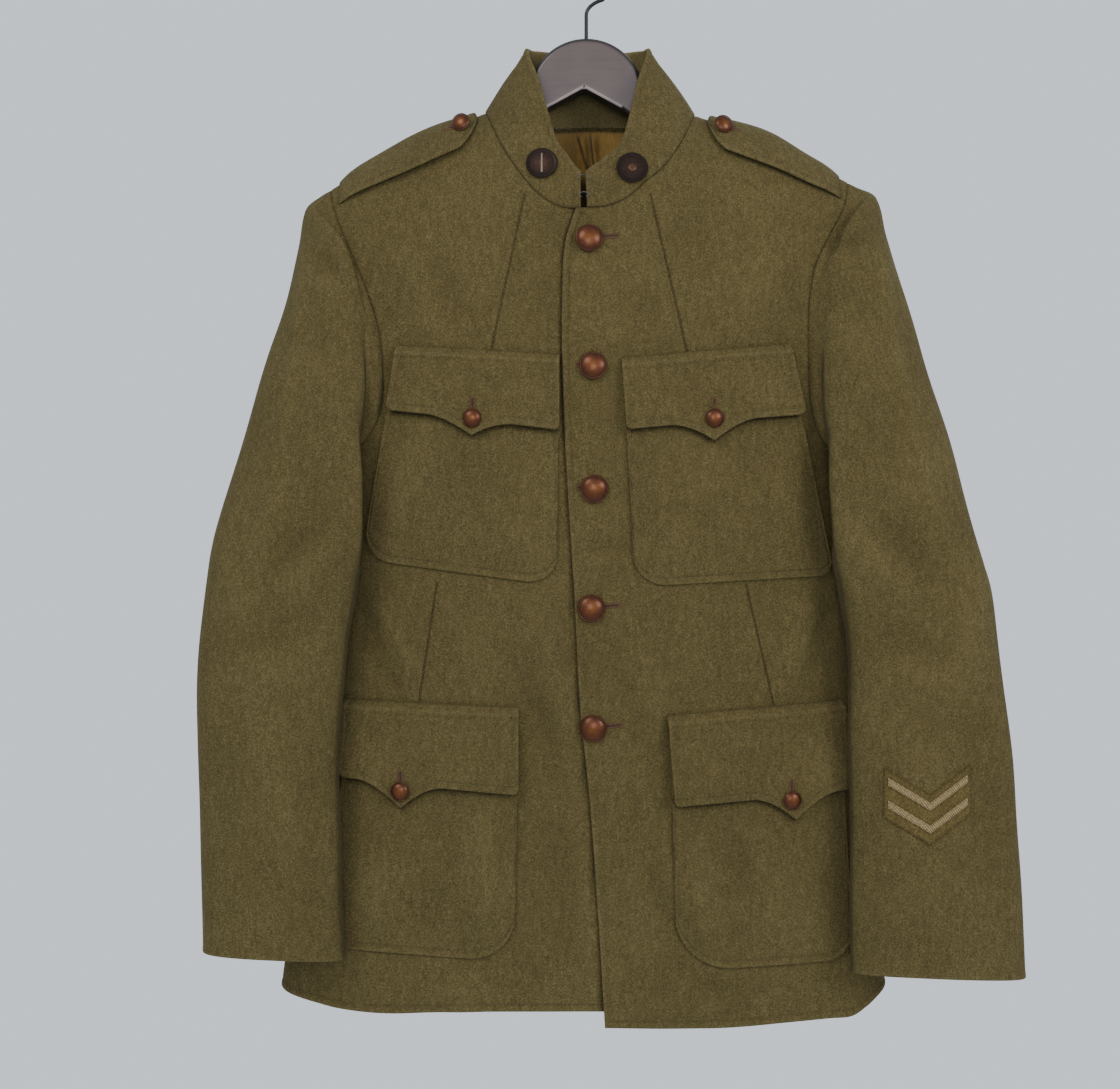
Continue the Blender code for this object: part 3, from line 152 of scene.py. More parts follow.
def hermite(stations, values, at):
    stations = np.asarray(stations, float)
    values = np.asarray(values, float)
    at = np.clip(np.asarray(at, float), stations[0], stations[-1])
    steps = np.diff(stations)
    rises = np.diff(values, axis=0) / steps.reshape((-1,) + (1,) * (values.ndim - 1))
    tangents = np.concatenate([rises[:1], 0.5 * (rises[:-1] + rises[1:]), rises[-1:]])
    i = np.clip(np.searchsorted(stations, at, side="right") - 1, 0, len(steps) - 1)
    t = (at - stations[i]) / steps[i]
    span = steps[i]
    if values.ndim > 1:
        t = t[..., None]
        span = span[..., None]
    bend = t * (1 - t) * span * ((1 - t) * tangents[i] - t * tangents[i + 1])
    return values[i] + t * t * (3 - 2 * t) * (values[i + 1] - values[i]) + bend


def alongLine(points, shares):
    points = np.asarray(points, float)
    lengths = np.concatenate([[0], np.cumsum(np.linalg.norm(np.diff(points, axis=0), axis=1))])
    return hermite(lengths / lengths[-1], points, shares)


def smoothStep(low, high, x):
    t = np.clip((np.asarray(x, float) - low) / (high - low), 0, 1)
    return t * t * (3 - 2 * t)


def halfWidth(height, side):
    left = hermite(body["height"], body["left"], height)
    right = hermite(body["height"], body["right"], height)
    return np.where(side >= 0, left, right)


def shoulderHeight(across):
    return hermite(shoulder["across"], shoulder["height"], across)


def dropOf(roll):
    roll = np.abs(roll)
    rounded = 1 - np.cos(np.minimum(roll, np.pi / 2))
    return shoulder["roll"] * (rounded + np.maximum(roll - np.pi / 2, 0))


def rollOf(drop):
    share = np.maximum(drop, 0) / shoulder["roll"]
    return np.where(share < 1, np.arccos(np.clip(1 - share, 0, 1)), np.pi / 2 + share - 1)


# A point of the body's cloth, by the angle around it and the roll over the shoulder
def skin(angle, roll):
    angle, roll = np.broadcast_arrays(np.asarray(angle, float), np.asarray(roll, float))
    swing = np.sin(angle)
    height = np.full(angle.shape, -300.0)
    for _ in range(8):
        across = halfWidth(height, swing) * swing
        height = shoulderHeight(across) - dropOf(roll)
    facing = np.sign(np.cos(angle)) * np.where(roll < 0, -1.0, 1.0)
    depth = np.where(facing >= 0, hermite(body["height"], body["front"], height),
                     hermite(body["height"], body["back"], height))
    boxy = body["boxiness"]
    full = np.maximum(1 - np.abs(swing) ** boxy, 0) ** (1 / boxy)
    swell = np.sin(np.minimum(np.abs(roll), np.pi / 2))
    return np.stack([across, -facing * depth * full * swell, height], axis=-1)


def stepNormal(surface, u, v, step=1e-3):
    du = surface(u + step, v) - surface(u - step, v)
    dv = surface(u, v + step) - surface(u, v - step)
    normal = np.cross(du, dv)
    return normal / np.maximum(np.linalg.norm(normal, axis=-1, keepdims=True), 1e-12)


def bodyNormal(angle, roll):
    return -stepNormal(skin, angle, roll)


def toBody(across, height):
    across = np.asarray(across, float)
    height = np.asarray(height, float)
    share = np.clip(across / halfWidth(height, across), -1, 1)
    return np.arcsin(share), rollOf(shoulderHeight(across) - height)


def lap(across, side):
    if side != "left":
        return np.zeros(np.shape(across))
    return lapLift * (1 - smoothStep(48, 92, across))


def foldsAt(which, x, z):
    total = np.zeros(np.shape(x))
    for x0, z0, x1, z1, width, height in folds[which]:
        alongX, alongZ = x1 - x0, z1 - z0
        t = ((x - x0) * alongX + (z - z0) * alongZ) / (alongX**2 + alongZ**2)
        near = np.clip(t, 0, 1)
        gap = (x - x0 - near * alongX) ** 2 + (z - z0 - near * alongZ) ** 2
        total += height * np.exp(-gap / width**2) * np.sin(np.pi * np.clip(t, 0.02, 0.98)) ** 0.6
    return total


# Uneven hand-made looking waves of about one unit
def softWaves(x, z, size, start):
    return (np.sin(2.1 * x / size + start + np.sin(1.3 * z / size)) + np.sin(1.7 * z / size + 2 * start)
            + np.sin((x - 1.4 * z) / size + 3 * start)) / 2.2


# Height of the folds above the plain form of the body, the same for both fronts
def bodyRelief(x, z, facing):
    fade = 1 - smoothStep(0.88, 0.99, np.abs(x) / halfWidth(z, x))
    shape = foldsAt("front", x, z) if facing > 0 else foldsAt("back", x, z)
    top = 1 - smoothStep(-205, -170, z)
    return fade * (1.25 * shape * (0.25 + 0.75 * top) + 0.55 * softWaves(x, z, 38, facing) * top)


# Points on a front, moved out along its normal
def frontLayer(across, height, out, side):
    across, height, out = np.broadcast_arrays(*(np.asarray(v, float) for v in (across, height, out)))
    angle, roll = toBody(across, height)
    lift = out + lap(across, side) + bodyRelief(across, height, 1)
    return skin(angle, roll) + bodyNormal(angle, roll) * lift[..., None]


def armholeHalf(side, half):
    place = alongLine(armholes[side, half], np.linspace(0, 1, 400) ** 1.5)
    angle, roll = toBody(place[:, 0], place[:, 1])
    if half == "back":
        angle = np.sign(angle) * (np.pi - np.abs(angle))
    steps = np.linalg.norm(np.diff(skin(angle, roll), axis=0), axis=1)
    length = np.concatenate([[0], np.cumsum(steps)])
    return length / length[-1], angle, roll


armholeLines = {key: armholeHalf(*key) for key in armholes}

# Materials


def linear(hexColour):
    channels = [int(hexColour[i:i + 2], 16) / 255 for i in (1, 3, 5)]
    return (*[c / 12.92 if c < 0.04045 else ((c + 0.055) / 1.055) ** 2.4 for c in channels], 1)


def addNode(tree, kind, inputs=None, **settings):
    node = tree.nodes.new(kind)
    for key, value in settings.items():
        setattr(node, key, value)
    for key, value in (inputs or {}).items():
        if isinstance(value, bpy.types.NodeSocket):
            tree.links.new(value, node.inputs[key])
        else:
            node.inputs[key].default_value = value
    return node


def newMaterial(name, **shaderInputs):
    material = bpy.data.materials.new(name)
    material.use_nodes = True
    tree = material.node_tree
    shader = tree.nodes["Principled BSDF"]
    for key, value in shaderInputs.items():
        shader.inputs[key.replace("_", " ")].default_value = value
    return material, tree, shader


def noiseOf(tree, place, size, detail=3.0, rough=0.6):
    inputs = {"Vector": place, "Scale": 1000 / size, "Detail": detail, "Roughness": rough}
    return addNode(tree, "ShaderNodeTexNoise", inputs).outputs["Fac"]


# Adds up factors, each a (socket, weight), around a middle value
def blendOf(tree, middle, *parts):
    total = middle - sum(weight for _, weight in parts) / 2
    for socket, weight in parts:
        total = addNode(tree, "ShaderNodeMath", {0: socket, 1: weight, 2: total},
                        operation="MULTIPLY_ADD").outputs[0]
    return total


def rampOf(tree, factor, *stops):
    node = addNode(tree, "ShaderNodeValToRGB", {"Fac": factor})
    ramp = node.color_ramp
    while len(ramp.elements) < len(stops):
        ramp.elements.new(0.5)
    for element, (place, colour) in zip(ramp.elements, stops):
        element.position = place
        element.color = linear(colour)
    return node.outputs["Color"]


woolLook = {"fleck": 1.3, "nap": 4.0, "patch": 60.0, "twill": 2.2, "bump": 0.5}


# Joins a colour and a fine relief to a shader
def joinSurface(tree, shader, colour, relief, strength, depth):
    tree.links.new(colour, shader.inputs["Base Color"])
    bump = addNode(tree, "ShaderNodeBump", {"Height": relief, "Strength": strength, "Distance": depth})
    tree.links.new(bump.outputs[0], shader.inputs["Normal"])


# Napped wool serge: heathered yarn, a soft bloom of fibre at grazing angles, no gloss
def woolSerge(name, dark, middle, light):
    material, tree, shader = newMaterial(
        name, Roughness=0.95, Sheen_Weight=0.15, Sheen_Roughness=0.45,
        Sheen_Tint=linear("#8f8763"), Specular_IOR_Level=0.18)
    coords = addNode(tree, "ShaderNodeTexCoord")
    place = coords.outputs["Object"]
    long = addNode(tree, "ShaderNodeMapping", {"Vector": place, "Scale": (1, 1, 0.35)}).outputs[0]
    fleck = noiseOf(tree, place, woolLook["fleck"], 3, 0.8)
    nap = noiseOf(tree, long, woolLook["nap"], 3, 0.65)
    patch = noiseOf(tree, place, woolLook["patch"], 2, 0.5)
    # The attribute read here is painted light and shade: lighter on fold ridges and free edges, darker in
    # troughs, seams, gaps and under laps and flaps
    paintedShading = addNode(tree, "ShaderNodeAttribute", attribute_name="paintedShading").outputs["Fac"]
    tone = blendOf(tree, 0.5, (fleck, 1.35), (nap, 0.35), (patch, 0.16))
    tone = addNode(tree, "ShaderNodeMath", {0: paintedShading, 1: 0.16, 2: tone},
                   operation="MULTIPLY_ADD").outputs[0]
    colour = rampOf(tree, tone, (0.12, dark), (0.5, middle), (0.92, light))
    slant = addNode(tree, "ShaderNodeMapping", {"Vector": coords.outputs["UV"],
                                                "Rotation": (0, 0, np.radians(52))}).outputs[0]
    twill = addNode(tree, "ShaderNodeTexWave",
                    {"Vector": slant, "Scale": 314 / woolLook["twill"], "Distortion": 1.6,
                     "Detail": 1.0}).outputs["Fac"]
    relief = blendOf(tree, 0.5, (fleck, 0.75), (twill, 0.22), (nap, 0.35))
    joinSurface(tree, shader, colour, relief, woolLook["bump"], 0.0011)
    return material


# Cotton sateen lining: smooth warp floats, a silky sheen along the folds
def sateenLining():
    material, tree, shader = newMaterial(
        "cotton_sateen", Roughness=0.75, Sheen_Weight=0.05, Sheen_Roughness=0.3,
        Sheen_Tint=linear("#e0b465"))
    place = addNode(tree, "ShaderNodeTexCoord").outputs["Object"]
    thread = addNode(tree, "ShaderNodeMapping", {"Vector": place, "Scale": (1, 1, 0.15)}).outputs[0]
    # The attribute read here is painted shade along the lining's pleats and below the collar gap
    paintedShading = addNode(tree, "ShaderNodeAttribute", attribute_name="paintedShading").outputs["Fac"]
    fine = noiseOf(tree, thread, 1.2, 2, 0.6)
    tone = blendOf(tree, 0.5, (fine, 0.4), (noiseOf(tree, place, 24, 2), 0.5))
    tone = addNode(tree, "ShaderNodeMath", {0: paintedShading, 1: 0.3, 2: tone},
                   operation="MULTIPLY_ADD").outputs[0]
    colour = rampOf(tree, tone, (0.1, "#38290a"), (0.5, "#70541a"), (0.9, "#9c7a34"))
    joinSurface(tree, shader, colour, fine, 0.25, 0.0004)
    return material


# Struck bronze: brown patina, rubbed to copper on the high middle, where the attribute read below is 1; the
# same attribute also holds a painted highlight along the rim
def struckBronze(name, dark, middle, bright, roughness, metallic, grain):
    material, tree, shader = newMaterial(name, Metallic=metallic, Coat_Weight=0.12, Coat_Roughness=0.12)
    place = addNode(tree, "ShaderNodeTexCoord").outputs["Object"]
    wearAndRimHighlight = addNode(tree, "ShaderNodeAttribute", attribute_name="wearAndRimHighlight").outputs["Fac"]
    spots = noiseOf(tree, place, grain, 4, 0.7)
    tone = blendOf(tree, 0.5, (spots, 0.55), (wearAndRimHighlight, 0.45))
    colour = rampOf(tree, tone, (0.1, dark), (0.5, middle), (0.9, bright))
    gloss = blendOf(tree, roughness, (spots, 0.25))
    tree.links.new(gloss, shader.inputs["Roughness"])
    joinSurface(tree, shader, colour, spots, 0.35, 0.0005)
    return material


# Cotton thread and braid: matt, with a twist that shows as fine slanting ribs
def cottonYarn(name, dark, light, ribs):
    material, tree, shader = newMaterial(name, Roughness=0.85, Sheen_Weight=0.05)
    coords = addNode(tree, "ShaderNodeTexCoord")
    slant = addNode(tree, "ShaderNodeMapping", {"Vector": coords.outputs["Object"],
                                                "Rotation": (0, np.radians(38), 0)}).outputs[0]
    rib = addNode(tree, "ShaderNodeTexWave", {"Vector": slant, "Scale": 314 / ribs,
                                              "Distortion": 0.8}).outputs["Fac"]
    tone = blendOf(tree, 0.5, (rib, 0.6), (noiseOf(tree, coords.outputs["Object"], 1.3), 1.3))
    colour = rampOf(tree, tone, (0.1, dark), (0.9, light))
    joinSurface(tree, shader, colour, rib, 0.4, 0.0004)
    return material


# Beech under a satin brown lacquer: faint grain along the arms; a paler copy of it is the painted highlight
# at the low edge
def lacqueredBeech(name, dark, light, roughness):
    material, tree, shader = newMaterial(name, Roughness=roughness, Coat_Weight=0.25, Coat_Roughness=0.3)
    place = addNode(tree, "ShaderNodeTexCoord").outputs["Object"]
    grain = addNode(tree, "ShaderNodeMapping", {"Vector": place, "Scale": (0.08, 1, 1)}).outputs[0]
    lines = noiseOf(tree, grain, 3.0, 4, 0.6)
    tone = blendOf(tree, 0.5, (lines, 0.6), (noiseOf(tree, place, 22, 2), 0.5))
    joinSurface(tree, shader, rampOf(tree, tone, (0.1, dark), (0.9, light)), lines, 0.12, 0.0004)
    return material


# Drawn steel wire: fine scratches along it
def drawnWire(name, dark, light, roughness, metallic):
    material, tree, shader = newMaterial(name, Roughness=roughness, Metallic=metallic)
    place = addNode(tree, "ShaderNodeTexCoord").outputs["Object"]
    tone = blendOf(tree, 0.5, (noiseOf(tree, place, 1.6, 4, 0.7), 1.2))
    tree.links.new(rampOf(tree, tone, (0.1, dark), (0.9, light)), shader.inputs["Base Color"])
    return material


finishes = {
    "wool": woolSerge("wool_serge", "#282111", "#463e22", "#665d3e"),
    "backing": woolSerge("wool_backing", "#2a2210", "#4a4021", "#6b603c"),
    "lining": sateenLining(),
    "bronze": struckBronze("bronze_brown_patina", "#1f0f05", "#4a2409", "#683c14", 0.38, 0.7, 3.0),
    "dark_bronze": struckBronze("bronze_blackened", "#0d0705", "#23150e", "#5b3f2c", 0.4, 0.8, 1.6),
    "rubbed": struckBronze("bronze_rubbed_bright", "#54483e", "#80746a", "#a89e93", 0.4, 0.9, 1.6),
    "thread": cottonYarn("linen_thread", "#373019", "#544a30", 1.2),
    "eyeThread": cottonYarn("buttonhole_twist", "#301c0c", "#5c3b1c", 1.0),
    "slit": cottonYarn("buttonhole_shadow", "#0d0a05", "#1a140b", 1.0),
    "tape": cottonYarn("cotton_braid", "#463820", "#8b7852", 1.6),
    "wood": lacqueredBeech("lacquered_beech", "#2c1f1e", "#483634", 0.4),
    "woodEdgeShade": lacqueredBeech("beech_black_edge_painted_shade", "#040303", "#0c0909", 0.7),
    "woodHighlight": lacqueredBeech("beech_painted_highlight_edge", "#6d5f5c", "#a79c98", 0.4),
    "steel": drawnWire("tinned_steel_wire", "#2b2a29", "#666461", 0.4, 1.0),
    "black_wire": drawnWire("black_lacquered_wire", "#0b0b0c", "#26262a", 0.3, 0.6),
}
print("materials made:", len(finishes))

# Cloth tools


def dressPiece(piece, finish, slotName, *nodes):
    piece.data.materials.clear()
    piece.data.materials.append(finishes[finish])
    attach(piece, "root")
    if nodes:
        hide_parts(*nodes)
    return piece


def meshPiece(name, points, faces, smooth=50):
    mesh = bpy.data.meshes.new(name)
    mesh.from_pydata((np.asarray(points) * mm).tolist(), [], [tuple(face) for face in faces])
    mesh.shade_smooth()
    mesh.set_sharp_from_angle(angle=np.radians(smooth))
    piece = bpy.data.objects.new(name, mesh)
    bpy.context.scene.collection.objects.link(piece)
    return piece


# Distances in millimetres from the four borders of a grid, along its lines
def fromBorders(grid):
    rows = np.linalg.norm(np.diff(grid, axis=0), axis=2)
    columns = np.linalg.norm(np.diff(grid, axis=1), axis=2)
    down = np.concatenate([np.zeros((1, grid.shape[1])), np.cumsum(rows, axis=0)])
    over = np.concatenate([np.zeros((grid.shape[0], 1)), np.cumsum(columns, axis=1)], axis=1)
    return {"start": down, "end": down[-1:] - down, "low": over, "high": over[:, -1:] - over}


def gridNormals(grid):
    normal = np.cross(np.gradient(grid, axis=0), np.gradient(grid, axis=1))
    return normal / np.maximum(np.linalg.norm(normal, axis=2, keepdims=True), 1e-9)


# Shares along a length: close steps near the ends, even ones between
def spread(length, step, near=(0,), far=(0,)):
    count = max(2, int(round((length - near[-1] - far[-1]) / step))) + 1
    middle = np.linspace(near[-1], length - far[-1], count)
    return np.concatenate([near[:-1], middle, length - np.array(far[:-1])[::-1]]) / length


hemSteps = (0, 0.35, 0.9, 1.7, 3.0, 4.4, 5.2, 5.7, 6.2, 6.8, 7.8, 9.4)
seamSteps = (0, 0.4, 1.0, 1.8, 3.0)
stitchAt = 5.7


# Cloth between an inner and an outer grid. Turned edges are thicker, with a stitched groove.
def clothPiece(name, inner, outer, turned=(), shade=None, groove=0.5, bulk=0.3, under=-0.6):
    edges = fromBorders(outer)
    nearest = np.minimum.reduce(list(edges.values()))
    wall = outer - inner
    thick = np.linalg.norm(wall, axis=2, keepdims=True)
    out = wall / np.maximum(thick, 1e-6)
    turn = np.minimum.reduce([edges[key] for key in turned]) if turned else nearest + 99
    roundness = 1 - np.sqrt(1 - np.clip(1 - turn / 1.4, 0, 1) ** 2)
    tuck = 0.3 * np.clip(1 - nearest / 1.6, 0, 1) ** 2 * (turn > nearest + 1e-6)
    lift = -0.46 * thick[..., 0] * roundness - tuck + bulk * (1 - smoothStep(stitchAt - 2.2, stitchAt, turn))
    lift = lift - groove * np.exp(-(((turn - stitchAt) / 0.75) ** 2))
    outer = outer + out * lift[..., None]
    inner = inner + out * (0.46 * thick[..., 0] * roundness)[..., None]
    rows, columns = outer.shape[:2]
    count = rows * columns
    number = np.arange(count).reshape(rows, columns)
    quads = [number[:-1, :-1], number[1:, :-1], number[1:, 1:], number[:-1, 1:]]
    quads = np.stack(quads, axis=-1).reshape(-1, 4)
    border = np.concatenate([number[:, 0], number[-1, 1:], number[-2::-1, -1], number[0, -2:0:-1]])
    after = np.roll(border, -1)
    sides = np.stack([after, border, border + count, after + count], axis=-1)
    faces = np.concatenate([quads, quads[:, ::-1] + count, sides])
    i, j = rows // 2, columns // 2
    outward = np.cross(outer[i + 1, j] - outer[i, j], outer[i, j + 1] - outer[i, j]) @ out[i, j]
    if outward < 0:
        faces = faces[:, ::-1]
    piece = meshPiece(name, np.concatenate([outer.reshape(-1, 3), inner.reshape(-1, 3)]), faces.tolist())
    mesh = piece.data
    flat = np.stack([edges["start"], edges["low"]], axis=-1).reshape(-1, 2) * mm
    corners = np.zeros(len(mesh.loops), int)
    mesh.loops.foreach_get("vertex_index", corners)
    mesh.uv_layers.new(name="cloth").data.foreach_set("uv", np.concatenate([flat, flat])[corners].ravel())
    # The tint attribute is painted light and shade: the given shade, a painted highlight on free edges,
    # painted shade at seams and along the stitched groove, and on the inner face the painted shade or light
    # given by under
    if shade is None:
        shade = np.zeros((rows, columns))
    paintedEdgeHighlight, paintedSeamShade = 0.5 * np.exp(-((nearest / 2.0) ** 2)), -1.1 * np.exp(-((nearest / 1.1) ** 2))
    seam = np.where(turn <= nearest + 1e-6, paintedEdgeHighlight, paintedSeamShade)
    seam = seam - 0.45 * np.exp(-(((turn - stitchAt) / 0.9) ** 2)) * np.minimum(groove * 2, 1)
    tint = np.concatenate([(shade + seam).ravel(), np.full(count, under)])
    mesh.attributes.new("paintedShading", "FLOAT", "POINT").data.foreach_set("value", tint.astype(np.float32))
    return piece, outer, gridNormals(outer) * (1 if outward > 0 else -1)


# Threads along a path: each stitch is a small spindle with pointed ends, half sunk
def stitches(path, normals, pitch=3.0, radius=0.3, fill=0.74, lead=0.3):
    steps = np.linalg.norm(np.diff(path, axis=0), axis=1)
    length = np.concatenate([[0], np.cumsum(steps)])
    starts = np.arange(pitch * lead, length[-1] - pitch * fill, pitch)

    def sample(values, at):
        return np.stack([np.interp(at, length, values[:, k]) for k in range(3)], axis=-1)

    first, last = sample(path, starts), sample(path, starts + pitch * fill)
    up = sample(normals, starts + pitch * fill / 2)
    along = last - first
    side = np.cross(along, up)
    side = side / np.maximum(np.linalg.norm(side, axis=1, keepdims=True), 1e-9)
    rings = [first]
    for share, size in ((0.18, 0.8), (0.5, 1.0), (0.82, 0.8)):
        middle = first + along * share
        for across, rise in ((1, 0), (0, 0.8), (-1, 0), (0, -0.6)):
            rings.append(middle + (side * across + up * rise) * radius * size)
    rings.append(last)
    points = np.stack(rings, axis=1)
    shape = []
    for k in range(4):
        n = (k + 1) % 4
        shape += [(0, 1 + n, 1 + k, 1 + k), (13, 9 + k, 9 + n, 9 + n)]
        for ring in (1, 5):
            shape.append((ring + k, ring + n, ring + 4 + n, ring + 4 + k))
    count = len(starts)
    faces = (np.array(shape)[None] + np.arange(count)[:, None, None] * 14).reshape(-1, 4)
    return points.reshape(-1, 3), [tuple(dict.fromkeys(face)) for face in faces.tolist()]


# A closed section carried along a path: (sideways, up) points of the section
def sweep(path, normals, section):
    along = np.gradient(path, axis=0)
    side = np.cross(along, normals)
    side = side / np.maximum(np.linalg.norm(side, axis=1, keepdims=True), 1e-9)
    points = np.stack([path + side * across + normals * up for across, up in section], axis=1)
    rows, columns = points.shape[:2]
    faces = []
    for i in range(rows - 1):
        for j in range(columns):
            n = (j + 1) % columns
            a, b = i * columns, (i + 1) * columns
            faces.append((a + j, b + j, b + n, a + n))
    faces.append(tuple(range(columns)))
    faces.append(tuple(range(rows * columns - 1, (rows - 1) * columns - 1, -1)))
    return points.reshape(-1, 3), faces


def joined(name, parts, finish, slotName):
    points, faces, start = [], [], 0
    for somePoints, someFaces in parts:
        points.append(somePoints)
        faces += [tuple(k + start for k in face) for face in someFaces]
        start += len(somePoints)
    return dressPiece(meshPiece(name, np.concatenate(points), faces, 60), finish, slotName)


def gridPath(grid, normals, *places):
    path = np.concatenate([grid[place] for place in places])
    up = np.concatenate([normals[place] for place in places])
    return path, up


def nearestLine(distances, want=stitchAt):
    return int(np.argmin(np.abs(distances - want)))


sewn = {}


# The stitched line of a hem: down one side, along the foot and up the other
def hemPath(outer, start, foot, beside):
    edges = fromBorders(outer)
    row = nearestLine(edges["high"][foot])
    first, last = (nearestLine(edges[key][:, beside]) for key in ("start", "end"))
    return np.s_[first, start:row], np.s_[first:last, row], np.s_[last, row:start:-1]


def sewAlong(name, threadName, outer, normals, paths, pitch=3.0):
    runs = [stitches(*gridPath(outer, normals, *path), pitch) for path in paths]
    sewn[name] = [joined(threadName, runs, "thread", "wool")]


# Where on a surface (u, v) a point is seen from the front, found step by step
def seenAt(surface, across, height, u, v, rounds, step=1e-3):
    for _ in range(rounds):
        here = surface(u, v)
        alongU = (surface(u + step, v) - here) / step
        alongV = (surface(u, v + step) - here) / step
        missX, missZ = across - here[..., 0], height - here[..., 2]
        area = alongU[..., 0] * alongV[..., 2] - alongU[..., 2] * alongV[..., 0]
        u = u + np.clip((missX * alongV[..., 2] - missZ * alongV[..., 0]) / area, -0.3, 0.3)
        v = v + np.clip((alongU[..., 0] * missZ - alongU[..., 2] * missX) / area, -0.5, 0.5)
    return u, v


# Fronts and back


def seamSide(side, shares):
    turn = np.radians(hem["seamAngle"])
    angle = turn + (np.pi / 2 - turn) * smoothStep(0.45, 1.0, shares)
    height = hem[side][-1] + (hem["armpit"] - hem[side][-1]) * shares
    sign = 1 if side == "left" else -1
    across = halfWidth(height, sign) * np.sin(angle) * sign
    return np.stack([angle * sign, rollOf(shoulderHeight(across) - height)], axis=-1)


def armholeLine(side, half, shares):
    share, angle, roll = armholeLines[side, half]
    return np.stack([np.interp(shares[::-1], share, angle), np.interp(shares[::-1], share, roll)], axis=-1)


def lengthShares(line):
    steps = np.linalg.norm(np.diff(skin(line[:, 0], line[:, 1]), axis=0), axis=1)
    length = np.concatenate([[0], np.cumsum(steps)])
    return length / length[-1]


def panelGrid(bottom, top, first, last, across, rises):
    u, v = across[:, None, None], rises[None, :, None]
    ruled = (1 - u) * first[None] + u * last[None]
    nearTop = np.clip((v - hem["reach"]) / (1 - hem["reach"]), 0, 1) ** 1.4
    nearBottom = np.clip(1 - v / (1 - hem["reach"]), 0, 1) ** 1.4
    ruled = ruled + nearTop * (top[:, None] - ((1 - u) * top[0] + u * top[-1]))
    return ruled + nearBottom * (bottom[:, None] - ((1 - u) * bottom[0] + u * bottom[-1]))


panel = {"seamRows": spread(460, 3.4, hemSteps, (0, 1.6)), "armRows": spread(245, 3.0, (0, 0.5, 1.2, 2.2)),
         "columns": spread(260, 3.0, hemSteps, seamSteps),
         "backColumns": spread(520, 3.8, seamSteps, seamSteps)}


def bodyPanel(grid, side, facing):
    angle, roll = grid[..., 0], grid[..., 1]
    middle = skin(angle, roll)
    normal = bodyNormal(angle, roll)
    relief = bodyRelief(middle[..., 0], middle[..., 2], facing)
    lift = (lap(middle[..., 0], side) + relief)[..., None]
    half = cloth["wall"] / 2
    return middle + normal * (lift - half), middle + normal * (lift + half), relief


def makeFront(side):
    sign = 1 if side == "left" else -1
    neckShare = 8 / 13
    across = panel["columns"]
    edgeHeight, edgeAcross = frontEdge[side]
    neckLine = neck[side][1:]
    start = ((edgeAcross[-1], -212.0), (10, -213.5)) if side == "right" else ((edgeAcross[-1], -213.5),)
    startAngle = np.arcsin(edgeAcross[0] / halfWidth(hem[side][0], edgeAcross[0]))
    hemAngle = startAngle + (sign * np.radians(hem["seamAngle"]) - startAngle) * across
    hemHeight = hermite(hem["angle"], hem[side], np.abs(np.degrees(hemAngle)))
    hemAcross = halfWidth(hemHeight, sign) * np.sin(hemAngle)
    bottom = np.stack([hemAngle, rollOf(shoulderHeight(hemAcross) - hemHeight)], axis=-1)
    onNeck = across <= neckShare
    place = alongLine(start + neckLine, np.clip(across / neckShare, 0, 1))
    neckEnd, armStart = neckLine[-1][0], armholes[side, "front"][0][0]
    out = neckEnd + (armStart - neckEnd) * (across - neckShare) / (1 - neckShare)
    place[~onNeck] = np.stack([out, shoulderHeight(out)], axis=-1)[~onNeck]
    top = np.stack(toBody(place[:, 0], place[:, 1]), axis=-1)
    gap = cloth["seam"] / 2 / 30
    top[~onNeck, 1] = 0
    top[:, 1] = np.maximum(top[:, 1], gap)
    seam = seamSide(side, panel["seamRows"])
    seam[:, 0] -= sign * cloth["seam"] / 2 / 60
    arm = armholeLine(side, "front", panel["armRows"])
    arm[-1, 1] = gap
    last = np.concatenate([seam, arm[1:]])
    rises = lengthShares(last)
    height = hemHeight[0] + (start[0][1] - hemHeight[0]) * rises
    first = np.stack(toBody(hermite(edgeHeight, edgeAcross, height), height), axis=-1)
    first[0], first[-1], bottom[-1], top[-1] = bottom[0], top[0], last[0], last[-1]
    grid = panelGrid(bottom, top, first, last, across, rises)
    inner, outer, relief = bodyPanel(grid, side, 1)
    name = "front" + side.capitalize()
    # Painted light and shade following the folds; on the right front also a painted shadow along the lapped
    # edge of the left front
    shade = relief * 0.12
    if side == "right":
        away = outer[..., 0] - hermite(*frontEdge["left"], outer[..., 2])
        shade = shade - 2.2 * np.exp(-((np.minimum(away, 0) / 1.8) ** 2))
    piece, outer, normals = clothPiece(name, inner, outer, ("start", "low"), shade)
    dressPiece(piece, "wool", "wool", "front_" + side)
    edges = fromBorders(outer)
    column, row = nearestLine(edges["start"][:, 100]), nearestLine(edges["low"][60])
    paths = [(np.s_[column:, row],)] if side == "right" else [(np.s_[column, row:],), (np.s_[column:, row],)]
    sewAlong(name, name + "Stitching", outer, normals, paths)


